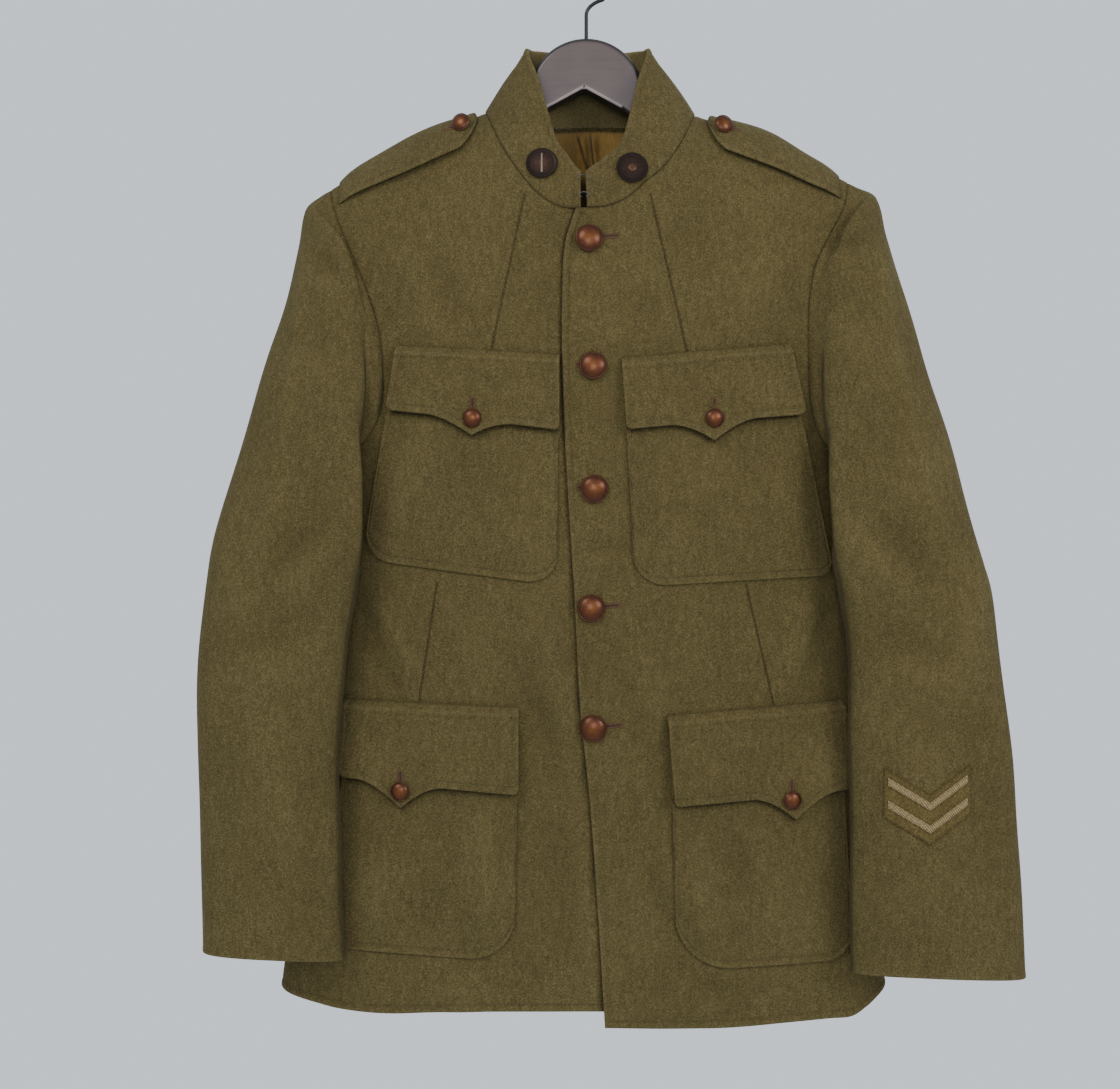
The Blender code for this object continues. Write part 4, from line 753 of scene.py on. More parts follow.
def makeBack():
    across = panel["backColumns"]
    start = np.radians(hem["seamAngle"])
    angle = start + (2 * np.pi - 2 * start) * across
    fromMiddle = np.abs(2 * across - 1)
    height = hem["back"] + (hem["left"][-1] - hem["back"]) * fromMiddle**2
    wide = halfWidth(height, np.sin(angle)) * np.sin(angle)
    bottom = np.stack([angle, rollOf(shoulderHeight(wide) - height)], axis=-1)
    leftEnd, rightEnd = armholes["left", "back"][0][0], armholes["right", "back"][0][0]
    x = np.where(across < 0.3, leftEnd + (neck["back"][-1][0] - leftEnd) * across / 0.3,
                 neck["back"][0][0] + (rightEnd - neck["back"][0][0]) * (across - 0.7) / 0.3)
    place = np.stack([x, shoulderHeight(x)], axis=-1)
    onNeck = (across >= 0.3) & (across <= 0.7)
    place[onNeck] = alongLine(neck["back"][::-1], (across[onNeck] - 0.3) / 0.4)
    frontAngle, roll = toBody(place[:, 0], place[:, 1])
    gap = cloth["seam"] / 2 / 30
    top = np.stack([np.pi - frontAngle, np.maximum(roll, gap)], axis=-1)
    sides = []
    for side, sign in (("left", 1), ("right", -1)):
        seam = seamSide(side, panel["seamRows"])
        seam[:, 0] += sign * cloth["seam"] / 2 / 60
        arm = armholeLine(side, "back", panel["armRows"])
        arm[-1, 1] = gap
        line = np.concatenate([seam, arm[1:]])
        line[:, 0] += 0 if sign > 0 else 2 * np.pi
        sides.append(line)
    bottom[0], bottom[-1], top[0], top[-1] = sides[0][0], sides[1][0], sides[0][-1], sides[1][-1]
    grid = panelGrid(bottom, top, sides[0], sides[1], across, lengthShares(sides[0]))
    inner, outer, relief = bodyPanel(grid, "back", -1)
    # Painted light and shade following the folds
    piece, outer, normals = clothPiece("backPanel", inner, outer, ("low",), relief * 0.12)
    dressPiece(piece, "wool", "wool", "back")
    row = nearestLine(fromBorders(outer)["low"][60])
    sewAlong("backPanel", "backStitching", outer, normals, [(np.s_[:, row],)])


# Sleeves: outer and inner line, crown depths, and the lean of the front towards the body
sleeves = {
    "columns": ("outerX", "outerY", "outerZ", "innerX", "innerY", "innerZ", "front", "back", "lean"),
    "right": (
        (229, -3, -208, 211, -4, -419, 42, 42, 42), (235, -5, -240, 210, -9, -429, 44, 43, 42),
        (244, -9, -282, 207, -17, -443, 44, 43, 40), (257, -15, -326, 197, -28, -464, 41, 42, 38),
        (271, -21, -376, 184, -38, -490, 36, 38, 24), (288, -28, -436, 185, -43, -520, 31, 33, 8),
        (302, -35, -495, 192, -45, -556, 26, 27, 0), (310, -39, -560, 196, -44, -600, 25, 23, 0),
        (311, -42, -640, 199, -44, -660, 24, 21, 0), (308.5, -41, -720, 198, -43, -728, 25, 21, 0),
        (306.5, -41, -808, 194, -43, -813, 26, 21, 0),
    ),
    "left": (
        (236, -3, -198, 217, -4, -419, 42, 42, 37), (245, -5, -229, 216, -9, -429, 44, 43, 38),
        (256, -9, -272, 213, -17, -443, 44, 43, 36), (270, -15, -320, 207, -28, -464, 41, 42, 34),
        (285, -21, -372, 199, -38, -488, 36, 38, 20), (302, -28, -436, 203, -43, -520, 31, 33, 8),
        (318, -35, -500, 208, -45, -556, 25, 26, 0), (329, -40, -562, 210, -45, -600, 22, 21, 0),
        (338.5, -43, -642, 210.5, -45, -660, 21, 18, 0), (345, -43, -724, 211, -45, -730, 20, 17, 0),
        (350.5, -43, -829, 212, -44, -824, 19, 16, 0),
    ),
    "boxiness": 0.18, "armpitBend": 78.0, "flange": (9.0, 5.0), "seamClear": 0.1,
    "seamTurn": 0.004, "backSeam": 1 / 3, "frontSeam": 0.92, "clearSide": 5.8, "clearFront": 13.0,
}


def armholePlace(side, turn):
    turn = np.mod(turn, 2 * np.pi)
    share = np.where(turn <= np.pi, turn, 2 * np.pi - turn) / np.pi
    front, back = armholeLines[side, "front"], armholeLines[side, "back"]
    onFront, onBack = ([np.interp(share, line[0], line[k]) for k in (1, 2)] for line in (front, back))
    return tuple(np.where(turn <= np.pi, *pair) for pair in zip(onFront, onBack))


def armholeSections(side, turn):
    sign = 1 if side == "left" else -1
    ring = skin(*armholePlace(side, turn))
    along = skin(*armholePlace(side, turn + 0.02)) - skin(*armholePlace(side, turn - 0.02))
    along = along / np.linalg.norm(along, axis=-1, keepdims=True)
    normal = bodyNormal(*armholePlace(side, turn))
    away = sign * np.cross(normal, along)
    bend = np.radians(sleeves["armpitBend"]) * np.sin(turn / 2) ** 1.2
    clear = sleeves["seamClear"] + 0.5 * cloth["wall"] / 2 * np.sin(bend)
    start = ring + away * clear[..., None]
    leave = away * np.cos(bend)[..., None] + normal * np.sin(bend)[..., None]
    near, far = sleeves["flange"]
    return start, start + leave * (near + (far - near) * np.sin(turn / 2) ** 2)[..., None]


# Moves the sleeve's points out until they lie clear of the body below the armpit
def clearOfBody(point, sign):
    height = point[..., 2]
    width = halfWidth(height, sign) + sleeves["clearSide"]
    depth = hermite(body["height"], body["front"], height) + sleeves["clearFront"]
    fromX = 0.84 * width
    reachX = np.abs(point[..., 0]) - fromX
    boxy = body["boxiness"]

    def boxed(scale):
        sideways = (np.abs(fromX + reachX * scale) / width) ** boxy
        return sideways + np.abs(point[..., 1] * scale / depth) ** boxy

    low, high = np.ones(height.shape), np.full(height.shape, 12.0)
    for _ in range(18):
        middle = (low + high) / 2
        inside = boxed(middle) < 1
        low, high = np.where(inside, middle, low), np.where(inside, high, middle)
    scale = np.where(boxed(1.0) < 1, high, 1.0)
    scale = 1 + (scale - 1) * smoothStep(-396, -410, height)
    moved = point.copy()
    moved[..., 0] = sign * (fromX + reachX * scale)
    moved[..., 1] = point[..., 1] * scale
    return moved


# A point of the sleeve's cloth. Station 0 is the armhole and the last is the cuff.
def sleeve(side, turn, station):
    turn, station = np.broadcast_arrays(np.asarray(turn, float), np.asarray(station, float))
    sign = 1 if side == "left" else -1
    cosine = np.cos(turn) * (1 + sleeves["boxiness"] * np.sin(turn) ** 2)
    sine = np.sin(turn) * (1 + sleeves["boxiness"] * np.cos(turn) ** 2)
    sections = list(armholeSections(side, np.mod(turn, 2 * np.pi)))
    for row in sleeves[side]:
        size = dict(zip(sleeves["columns"], row))
        outer = np.array((sign * size["outerX"], size["outerY"], size["outerZ"]))
        inner = np.array((sign * size["innerX"], size["innerY"], size["innerZ"]))
        lean = np.where(sine > 0, size["lean"], 0.4 * size["lean"]) * sine**2
        depth = np.where(sine > 0, size["front"], size["back"]) * sine
        point = (outer + inner) / 2 + (outer - inner) / 2 * cosine[..., None]
        point = point + np.stack([-sign * lean, -depth, np.zeros_like(depth)], axis=-1)
        sections.append(clearOfBody(point, sign))
    sections = np.stack(sections)
    last = len(sections) - 1
    i = np.clip(np.floor(station).astype(int), 0, last - 1)
    t = (np.clip(station, 0, last) - i)[..., None]

    def pick(k):
        k = np.clip(k, 0, last)
        return np.take_along_axis(sections, np.broadcast_to(k, turn.shape)[None, ..., None], axis=0)[0]

    before, a, b, after = pick(i - 1), pick(i), pick(i + 1), pick(i + 2)
    gap = np.linalg.norm(b - a, axis=-1, keepdims=True)
    gapBefore = np.maximum(np.linalg.norm(a - before, axis=-1, keepdims=True), 1e-6)
    gapAfter = np.maximum(np.linalg.norm(after - b, axis=-1, keepdims=True), 1e-6)
    leave = np.where(gapBefore > 1e-5, (b - before) * gap / (gap + gapBefore), b - a)
    arrive = np.where(gapAfter > 1e-5, (after - a) * gap / (gap + gapAfter), b - a)
    bend = t * (1 - t) * ((1 - t) * leave - t * arrive)
    return a + t * t * (3 - 2 * t) * (b - a) + bend


def sleeveRelief(side, point):
    x, z = point[..., 0], point[..., 2]
    shape = foldsAt("sleeve" + side.capitalize(), x, z)
    waves = softWaves(x, z + 0.4 * point[..., 1], 33, 2.0 if side == "left" else 0.7)
    return (1.25 * shape + 0.7 * waves) * smoothStep(-196, -236, z)


def sleeveLayer(side, turn, station, out):
    sign = 1 if side == "left" else -1
    point = sleeve(side, turn, station)
    normal = stepNormal(lambda u, v: sleeve(side, u, v), turn, station, 2e-2)
    return point + normal * sign * (np.asarray(out) + sleeveRelief(side, point))[..., None]


def makeSleeve(side):
    sign = 1 if side == "left" else -1
    cuff = len(sleeves[side]) + 1
    nearCuff = cuff - np.array((0.22, 0.16, 0.12, 0.09, 0.07, 0.055, 0.04, 0.028, 0.018, 0.01, 0.004, 0))
    stations = np.concatenate([[0, 0.05, 0.12, 0.25, 0.45, 0.7], np.linspace(1, 2, 6)[:-1],
                               np.linspace(2, cuff - 0.3, 170), nearCuff])
    front, back = sleeves["frontSeam"], sleeves["backSeam"]
    half = cloth["wall"] / 2
    kinds = ("topsleeve", 300, -back, 2 - front), ("undersleeve", 150, 2 - front, 2 - back)
    for kind, width, start, end in kinds:
        turns = np.pi * (start + (end - start) * spread(width, 3.2, seamSteps, seamSteps))
        turns[0] += sleeves["seamTurn"]
        turns[-1] -= sleeves["seamTurn"]
        turn, station = np.meshgrid(turns, stations, indexing="ij")
        middle = sleeve(side, turn, station)
        normal = gridNormals(middle) * sign
        relief = sleeveRelief(side, middle)
        # Painted light and shade following the folds, and painted shade where it faces the body
        shade = relief * 0.15 - 2.0 * smoothStep(0.82, 1.0, -sign * normal[..., 0])
        inner, outer = (middle + normal * (relief + level)[..., None] for level in (-half, half))
        piece = clothPiece(kind + side.capitalize(), inner, outer, ("high",), shade, 0.0)[0]
        dressPiece(piece, "wool", "wool", kind + "_" + side)


for side in ("left", "right"):
    makeFront(side)
    makeSleeve(side)
makeBack()
print("fronts, back and sleeves made")

# Collar: its upper edge for one half, from the front end past the side to the back
collarForm = {
    "way": (0, 0.22, 0.42, 0.6, 0.8, 1.0, 1.35, 1.7, 2.0),
    "across": (1.3, 14, 26, 33, 40, 48.5, 44, 24, 0),
    "depth": (-43, -42, -38, -31, -20, -3, 14, 22, 24),
    "height": (-184, -172, -157, -133, -105, -79, -73.5, -73.5, -74),
    "centre": 1.6, "frontCentre": -3.0, "bow": 2.0,
}


def collar(way, rise):
    way, rise = np.broadcast_arrays(np.asarray(way, float), np.asarray(rise, float))
    along = np.clip(way, 0, 4)
    first = alongLine(neck["right"], np.clip(along, 0, 1))
    last = alongLine(neck["left"], np.clip(4 - along, 0, 1))
    behind = alongLine(neck["back"], np.clip((along - 1) / 2, 0, 1))
    angle, roll = toBody(behind[..., 0], behind[..., 1])
    base = skin(np.pi - angle, roll)
    base = np.where((along < 1)[..., None], frontLayer(first[..., 0], first[..., 1], 0, "right"), base)
    base = np.where((along > 3)[..., None], frontLayer(last[..., 0], last[..., 1], 0, "left"), base)
    half = np.where(along <= 2, along, 4 - along)
    side = np.where(along <= 2, -1, 1)
    frontCentre, backCentre = collarForm["frontCentre"], collarForm["centre"]
    centre = frontCentre + (backCentre - frontCentre) * smoothStep(0, 0.4, half)
    top = np.stack([centre + side * hermite(collarForm["way"], collarForm["across"], half),
                    hermite(collarForm["way"], collarForm["depth"], half),
                    hermite(collarForm["way"], collarForm["height"], half)], axis=-1)
    out = (base + top) / 2 - np.array((0.0, -5.0, 0.0))
    out[..., 2] = 0
    out = out / np.maximum(np.linalg.norm(out, axis=-1, keepdims=True), 1e-9)
    bow = np.sin(np.pi * np.clip(rise, 0, 1)) * collarForm["bow"]
    bow = bow + 0.5 * np.sin(5.1 * way + 2.2 * rise) * smoothStep(0, 0.3, rise)
    return base + (top - base) * rise[..., None] + out * bow[..., None]


def collarLayer(way, rise, out):
    normal = stepNormal(collar, way, rise, 2e-3)
    return collar(way, rise) - normal * np.asarray(out)[..., None]


def makeCollar():
    ways = 0.007 + 3.986 * spread(480, 2.2, hemSteps, hemSteps)
    rises = 0.004 + 0.996 * spread(66, 1.7, seamSteps, hemSteps)
    way, rise = np.meshgrid(ways, rises, indexing="ij")
    half = np.full(way.shape, cloth["collar"] / 2)
    under, over = (collarLayer(way, rise, level) for level in (-half, half))
    turned = "start", "end", "high"
    # The inner face is painted lighter, a painted light inside the back collar
    piece, outer, normals = clothPiece("standCollar", under, over, turned, None, 0.25, 0.3, 1.6)
    dressPiece(piece, "wool", "wool", "collar")
    sewAlong("standCollar", "collarStitching", outer, normals, [hemPath(outer, 3, 60, 20)])


makeCollar()

# Shoulder straps, pockets and flaps
strapForm = {
    "share": (0.0, 0.1, 0.3, 0.6, 0.85, 1.0), "front": (0.6, 0.63, 0.69, 0.74, 0.73, 0.70),
    "back": (-0.38, -0.4, -0.42, -0.30, -0.14, -0.06), "lift": (-2.0, 0.9, 2.4, 3.6, 2.4, 0.3),
    "near": {"right": -88.0, "left": 98.0}, "round": 0.14,
}


def strapLayer(side, share, crossing, out):
    front = hermite(strapForm["share"], strapForm["front"], share)
    backEdge = hermite(strapForm["share"], strapForm["back"], share)
    roll = front + (backEdge - front) * crossing
    frontLine, backLine = armholeLines[side, "front"], armholeLines[side, "back"]
    rolls = np.concatenate([-backLine[2][:150][::-1], frontLine[2][1:150]])
    angles = np.concatenate([backLine[1][:150][::-1], frontLine[1][1:150]])
    start = np.array([strapForm["front"][0]])
    far = skin(np.interp(start, rolls, angles), start)[0, 0] * 0.985
    across = far + (strapForm["near"][side] - far) * share
    height = shoulderHeight(across) - dropOf(roll)
    angle = np.arcsin(np.clip(across / halfWidth(height, across), -1, 1))
    return skin(angle, roll) + bodyNormal(angle, roll) * np.asarray(out)[..., None]


def makeStrap(side):
    end = strapForm["round"]
    shares = np.concatenate([0.012 + 0.848 * spread(126, 1.9, (0, 1)),
                             1 - end * (1 - np.sin(np.linspace(0.06, 1, 22) * np.pi / 2))])
    share, crossing = np.meshgrid(shares, spread(46, 1.8, hemSteps, hemSteps), indexing="ij")
    into = np.clip((share - (1 - end)) / end, 0, 0.9985)
    crossing = 0.5 + (crossing - 0.5) * np.sqrt(1 - into**2)
    low = cloth["wall"] / 2 + cloth["lay"] + hermite(strapForm["share"], strapForm["lift"], share)
    low = low + 0.25 * np.sin(9 * share + 4 * crossing)
    name = "strap" + side.capitalize()
    under, over = (strapLayer(side, share, crossing, level) for level in (low, low + cloth["strap"] - 0.3))
    # The inner face is painted dark, which shows as a painted shadow along the strap's lower edge
    piece, outer, normals = clothPiece(name, under, over, ("low", "high"), None, 0.4, 0.35, -2.4)
    dressPiece(piece, "wool", "wool", "strap_" + side)
    near = nearestLine(fromBorders(outer)["low"][20])
    last = outer.shape[1] - 1 - near
    path = np.s_[2:-3, near], np.s_[-4, near:last], np.s_[-4:1:-1, last]
    sewAlong(name, name + "Stitching", outer, normals, [path], 2.8)


pockets = {
    "upper_right": {"inner": (-23, -23.5), "outer": (-155, -184), "top": (-347, -339), "bottom": (-515, -494),
                    "corner": (26, 24), "puff": 1.6},
    "upper_left": {"inner": (29, 38), "outer": (166, 201), "top": (-351, -338), "bottom": (-516, -507),
                   "corner": (26, 12), "puff": 1.6},
    "lower_right": {"inner": (-55, -58), "outer": (-194, -212), "top": (-631, -625), "bottom": (-818, -808),
                    "corner": (38, 24), "puff": 3.0},
    "lower_left": {"inner": (67, 72), "outer": (205, 217), "top": (-638, -627), "bottom": (-826, -818),
                   "corner": (46, 24), "puff": 3.2},
}
flaps = {
    "upper_right": {"inner": (-22, -22), "outer": (-152, -158), "top": (-330.5, -322.5),
                    "drop": (61, 52), "point": (-91, 69)},
    "upper_left": {"inner": (27, 30.5), "outer": (162, 172), "top": (-334, -321),
                   "drop": (57, 57), "point": (100, 72)},
    "lower_right": {"inner": (-54.5, -54.5), "outer": (-194, -196.5), "top": (-612, -606.5),
                    "drop": (70, 63), "point": (-148, 85)},
    "lower_left": {"inner": (64, 69.5), "outer": (206, 210), "top": (-618.5, -607.5),
                   "drop": (73, 72), "point": (166, 92)},
    "corner": 5.0, "scoop": 34.0, "stand": 3.2,
}


def between(ends, share):
    return ends[0] + (ends[1] - ends[0]) * share


def cornerRise(distance, radius):
    inside = np.clip(radius - distance, 0, radius)
    return radius - np.sqrt(np.maximum(radius**2 - inside**2, 0))


def makePocket(name, side):
    size = pockets[name]
    width = abs(size["outer"][1] - size["inner"][1])
    share, down = np.meshgrid(spread(width, 2.2, hemSteps, hemSteps),
                              spread(172, 2.2, (0, 2), hemSteps), indexing="ij")
    bottom = between(size["bottom"], share) + cornerRise(share * width, size["corner"][0])
    bottom = bottom + cornerRise((1 - share) * width, size["corner"][1])
    height = between(size["top"], share) * (1 - down) + bottom * down
    reach = (size["top"][0] - height) / (size["top"][0] - size["bottom"][0])
    across = between(size["inner"], reach) * (1 - share) + between(size["outer"], reach) * share
    puff = size["puff"] * smoothStep(0, 1, np.minimum(np.minimum(share, 1 - share) * 6, (1 - down) * 5))
    relief = foldsAt("bags", across, height) + 0.4 * softWaves(across, height, 26, 1.3)
    relief = np.maximum(relief, -0.8 * puff) * puff / size["puff"]
    low = cloth["wall"] / 2 + cloth["lay"] + puff * 0.6 + relief * 0.6 * (relief > 0)
    high = cloth["wall"] / 2 + cloth["lay"] + cloth["pocket"] + puff + relief
    # Painted shadow: the bag is darker right under its flap's lower edge; its folds are painted lighter and
    # darker too
    flap = flaps[name]
    foot = (across - flap["inner"][1]) / (flap["outer"][1] - flap["inner"][1])
    edge = between(flap["top"], foot) - flapDrop(flap, across, np.clip(foot, 0, 1))
    shade = relief * 0.15 - 2.2 * np.exp(-(((height - edge + 0.6) / 1.7) ** 2))
    pieceName = "pocket_bag_" + name
    under, over = (frontLayer(across, height, level, side) for level in (np.minimum(low, high - 1.0), high))
    piece, outer, normals = clothPiece(pieceName, under, over, ("start", "end", "high"), shade, 0.45)
    dressPiece(piece, "wool", "wool", "pocket_" + name)
    sewAlong(pieceName, pieceName + "_stitching", outer, normals, [hemPath(outer, 0, 40, 30)])


def flapDrop(size, across, share):
    reach = np.clip(1 - np.abs(across - size["point"][0]) / flaps["scoop"], 0, 1)
    width = abs(size["outer"][1] - size["inner"][1])
    corners = cornerRise(share * width, flaps["corner"]) + cornerRise((1 - share) * width, flaps["corner"])
    straight = between(size["drop"], share)
    return straight + (size["point"][1] - straight) * reach**1.7 - corners


def flapRest(name, down):
    overBag = cloth["wall"] / 2 + cloth["lay"] + cloth["pocket"] + pockets[name]["puff"] + cloth["lay"]
    low = cloth["wall"] / 2 + cloth["lay"]
    return low + (overBag - low) * smoothStep(0.0, 0.17, down) + flaps["stand"] * smoothStep(0.3, 1, down)


def makeFlap(name, side):
    size = flaps[name]
    width = abs(size["outer"][1] - size["inner"][1])
    share, down = np.meshgrid(spread(width, 1.6, hemSteps, hemSteps),
                              spread(68, 1.5, (0, 0.5, 1.2, 2.4), hemSteps), indexing="ij")
    footAcross = between(size["inner"][1:] + size["outer"][1:], share)
    topAcross = between(size["inner"][:1] + size["outer"][:1], share)
    across = topAcross + (footAcross - topAcross) * down
    drop = flapDrop(size, footAcross, share)
    height = between(size["top"], share) - drop * down
    # Sewn at the top with a raised ridge below it, curling a little at its free edge
    fromTop = down * drop
    ridge = 0.9 * np.exp(-(((fromTop - 6.5) / 1.5) ** 2)) - 0.5 * np.exp(-(((fromTop - 9.5) / 1.2) ** 2))
    curl = 0.7 * softWaves(across, height, 15, 0.6) * smoothStep(0.35, 1, down)
    low = flapRest(name, down) + curl * 0.6 + 0.3
    pieceName = "pocket_flap_" + name
    high = low + cloth["flap"] - 0.2 + ridge
    under, over = (frontLayer(across, height, level, side) for level in (low, high))
    # Painted light on the ridge and curls; the inner face is painted dark, which shows as a painted shadow
    # along the lower edge
    piece, outer, normals = clothPiece(pieceName, under, over, ("start", "end", "high"),
                                       curl * 0.2 + ridge * 0.6, 0.3, 0.4, -2.4)
    dressPiece(piece, "wool", "wool", "flap_" + name)
    seamRow = nearestLine(fromBorders(outer)["low"][40], 9.0)
    sewAlong(pieceName, pieceName + "_stitching", outer, normals,
             [hemPath(outer, 0, 40, 30), (np.s_[:, seamRow],)], 2.8)


for side in ("left", "right"):
    makeStrap(side)
for name in pockets:
    makePocket(name, name.split("_")[1])
    makeFlap(name, name.split("_")[1])
print("collar, straps, pockets and flaps made")

# Lining at the back neck, with its pleat
liningForm = {"sides": (-58.0, 64.0), "foot": -290.0, "gap": 1.9,
              "pleats": ((-3, 4, 3.4), (5.5, 3, 2.4), (-22, 9, 1.2), (30, 12, 1.4), (-42, 7, 0.8),
                         (48, 6, 0.8)),
              "lines": ((-9, 0.30), (3, 0.12))}


def makeLining():
    sides = np.linspace(*liningForm["sides"], 110)
    x, share = np.meshgrid(sides, np.linspace(0, 1, 90) ** 1.3, indexing="ij")
    top = hermite([p[0] for p in neck["back"]], [p[1] for p in neck["back"]], x)
    height = top - 2.5 + (liningForm["foot"] - top + 2.5) * share
    angle, roll = toBody(x, height)
    fold = np.zeros(x.shape)
    for place, wide, deep in liningForm["pleats"]:
        lean = place + 0.10 * (top - height)
        fold = fold + deep * np.exp(-(((x - lean) / wide) ** 2)) * smoothStep(0.0, 0.08, share)
    hollow = np.maximum(-bodyRelief(x, height, -1), 0)
    inward = -(cloth["wall"] / 2 + liningForm["gap"] + fold + hollow)[..., None]
    middle, normal = skin(np.pi - angle, roll), bodyNormal(np.pi - angle, roll)
    # Painted shade: each pleat lighter on one side and darker on the other, dark lines along two pleats, and
    # the lining darker below the collar gap
    tint = np.gradient(fold, axis=0) * 0.9 - 2.2 * smoothStep(-168, -184, height)
    for place, lean in liningForm["lines"]:
        off = x - place - lean * (top - height)
        tint = tint - 2.4 * np.exp(-((off / 0.9) ** 2)) * smoothStep(0.0, 0.05, share)
    piece = clothPiece("backLining", middle + normal * inward,
                       middle + normal * (inward - cloth["lining"]), (), tint)[0]
    dressPiece(piece, "lining", "lining", "lining_back")


makeLining()

# Service chevrons on the left sleeve: two arms of a V each, on a wool backing
chevrons = {"tip": (270.5, -707.0), "arms": ((-32.5, 19.5), (29.5, 22.0)), "tape": 6.2, "pitch": 18.0,
            "margin": 9.5}


def chevronPiece(name, below, above, reach, low, thick, finish, slotName, node, steps):
    tip = np.array(chevrons["tip"])
    shares = np.concatenate([np.linspace(1, 0, 18), np.linspace(0, 1, 18)[1:]])
    arms = np.where((np.arange(35) < 17)[:, None], *[np.array(arm)[None] for arm in chevrons["arms"]])
    line = tip + arms * (shares * reach)[:, None]
    rise = np.linspace(0, 1, steps)[None, :, None]
    place = line[:, None] + np.array((0, 1.0)) * (below + (above - below) * rise)
    u, v = seenAt(lambda u, v: sleeve("left", u, v), place[..., 0], place[..., 1],
                  np.full(place.shape[:2], 1.6), np.full(place.shape[:2], 10.5), 9)
    under, over = (sleeveLayer("left", u, v, level) for level in (low, low + thick))
    piece, outer, normals = clothPiece(name, under, over)
    dressPiece(piece, finish, slotName, node)
    runs = [stitches(outer[:, row] + normals[:, row] * 0.05, normals[:, row], 2.0, 0.22) for row in (1, -2)]
    sewn.setdefault("chevronBacking", []).append(joined(name + "Stitching", runs, "thread", slotName))
    if name != "chevronBacking":
        sewn["chevronBacking"].append(piece)


def makeChevrons():
    low = cloth["wall"] / 2 + cloth["lay"]
    half, pitch = chevrons["tape"] / 2, chevrons["pitch"]
    chevronPiece("chevronBacking", -half - chevrons["margin"], pitch + half + 6.0, 1.1, low,
                 cloth["patch"], "backing", "wool", "chevron_backing", 15)
    low = low + cloth["patch"] + cloth["lay"]
    for part, shift in (("Lower", 0.0), ("Upper", pitch)):
        chevronPiece("chevron" + part, shift - half, shift + half, 1.0, low, cloth["patch"], "tape", "tape",
                     "chevron_" + part.lower(), 7)


makeChevrons()
print("lining and chevrons made")

# Hard pieces, modelled with operators


def startPiece():
    if bpy.context.object and bpy.context.object.mode != "OBJECT":
        bpy.ops.object.mode_set(mode="OBJECT")
    bpy.ops.object.select_all(action="DESELECT")


# Grown from a disc: each step is extruded upwards and scaled to its radius
def turnedPiece(name, profile, segments):
    startPiece()
    radius, height = profile[0]
    bpy.ops.mesh.primitive_circle_add(vertices=segments, radius=radius * mm, fill_type="NGON",
                                      location=(0, 0, height * mm))
    piece = bpy.context.object
    piece.name = name
    bpy.ops.object.transform_apply(location=True, rotation=True, scale=True)
    bpy.ops.object.mode_set(mode="EDIT")
    bpy.ops.mesh.select_all(action="SELECT")
    for nextRadius, nextHeight in profile[1:]:
        bpy.ops.mesh.extrude_region_move(TRANSFORM_OT_translate={"value": (0, 0, (nextHeight - height) * mm)})
        factor = nextRadius / radius
        bpy.ops.transform.resize(value=(factor, factor, 1), center_override=(0, 0, nextHeight * mm))
        radius, height = nextRadius, nextHeight
    bpy.ops.mesh.select_all(action="SELECT")
    bpy.ops.mesh.normals_make_consistent(inside=False)
    bpy.ops.object.mode_set(mode="OBJECT")
    bpy.ops.object.shade_smooth_by_angle(angle=np.radians(42))
    co = np.zeros(len(piece.data.vertices) * 3)
    piece.data.vertices.foreach_get("co", co)
    co = co.reshape(-1, 3) / mm
    reach = np.hypot(co[:, 0], co[:, 1])
    widest, tallest = reach.max(), co[:, 2].max()
    wearAndRimHighlight = np.clip(1.15 - reach / widest, 0, 1) * np.clip(co[:, 2] / tallest, 0, 1)
    # Painted highlight along the rim, kept together with the real wear on the high middle
    rim = np.exp(-(((reach - widest) / 0.5) ** 2)) * 0.7
    wearAndRimHighlight = np.maximum(wearAndRimHighlight, rim).astype(np.float32)
    piece.data.attributes.new("wearAndRimHighlight", "FLOAT", "POINT").data.foreach_set("value", wearAndRimHighlight)
    return piece


# A copy with its own mesh, stood on a point with its top along the normal
def standOn(model, name, point, normal, tilt=(0, 0)):
    up = Vector(normal).normalized()
    side = Vector((0, 0, 1)).cross(up).normalized()
    above = up.cross(side)
    up = (up + side * tilt[0] + above * tilt[1]).normalized()
    side = above.cross(up).normalized()
    above = up.cross(side)
    copy = model.copy()
    copy.data = model.data.copy()
    copy.name = name
    bpy.context.scene.collection.objects.link(copy)
    turn = Matrix((side, above, up)).transposed().to_4x4()
    copy.data.transform(Matrix.Translation(Vector(point) * mm) @ turn)
    return copy


buttons = {
    "front": ((1.6, -238.6), (4.8, -340.2), (5.6, -437.8), (3.2, -533.0), (4.8, -629.0)),
    "frontTilt": ((0.05, 0.03), (-0.03, 0.05), (0.04, -0.02), (0.05, 0.04), (-0.05, 0.0)),
    "pocket": {"upper_right": (-90.4, -381.8), "upper_left": (100, -381.8),
               "lower_right": (-148, -679.4), "lower_left": (162.4, -686.6)},
    "radius": {"front": 11.1, "pocket": 7.6, "strap": 7.8}, "height": {"front": 6.5, "small": 5.0},
    "segments": 40, "fewSegments": 32, "pocketTilt": (0.04, -0.03),
    "strapShare": 0.90, "strapCrossing": 0.36, "strapSink": 0.4, "strapRise": 1.5, "strapTilt": (0, -0.5),
}


def buttonProfile(radius, height):
    profile = [(wide * radius, tall * height) for wide, tall in (
        (0.28, 0.0), (0.28, 0.24), (0.86, 0.28), (0.97, 0.34), (1.0, 0.42), (0.985, 0.49), (0.95, 0.53),
        (0.925, 0.51), (0.90, 0.52))]
    for share in np.cos(np.linspace(0, 1, 11)[1:] * np.pi / 2 * 0.985):
        rise = 0.52 + 0.48 * (1 - share**2) ** 0.72
        profile.append((0.90 * radius * max(share, 0.03), rise * height))
    return profile


def pointAndNormal(layer, out):
    low, high = layer(out), layer(out + 1.0)
    return low, high - low


def flapPlace(name, across, height):
    size = flaps[name]
    share = (across - size["inner"][1]) / (size["outer"][1] - size["inner"][1])
    down = (between(size["top"], share) - height) / flapDrop(size, across, share)
    return float(flapRest(name, down)) + cloth["flap"] + 0.1


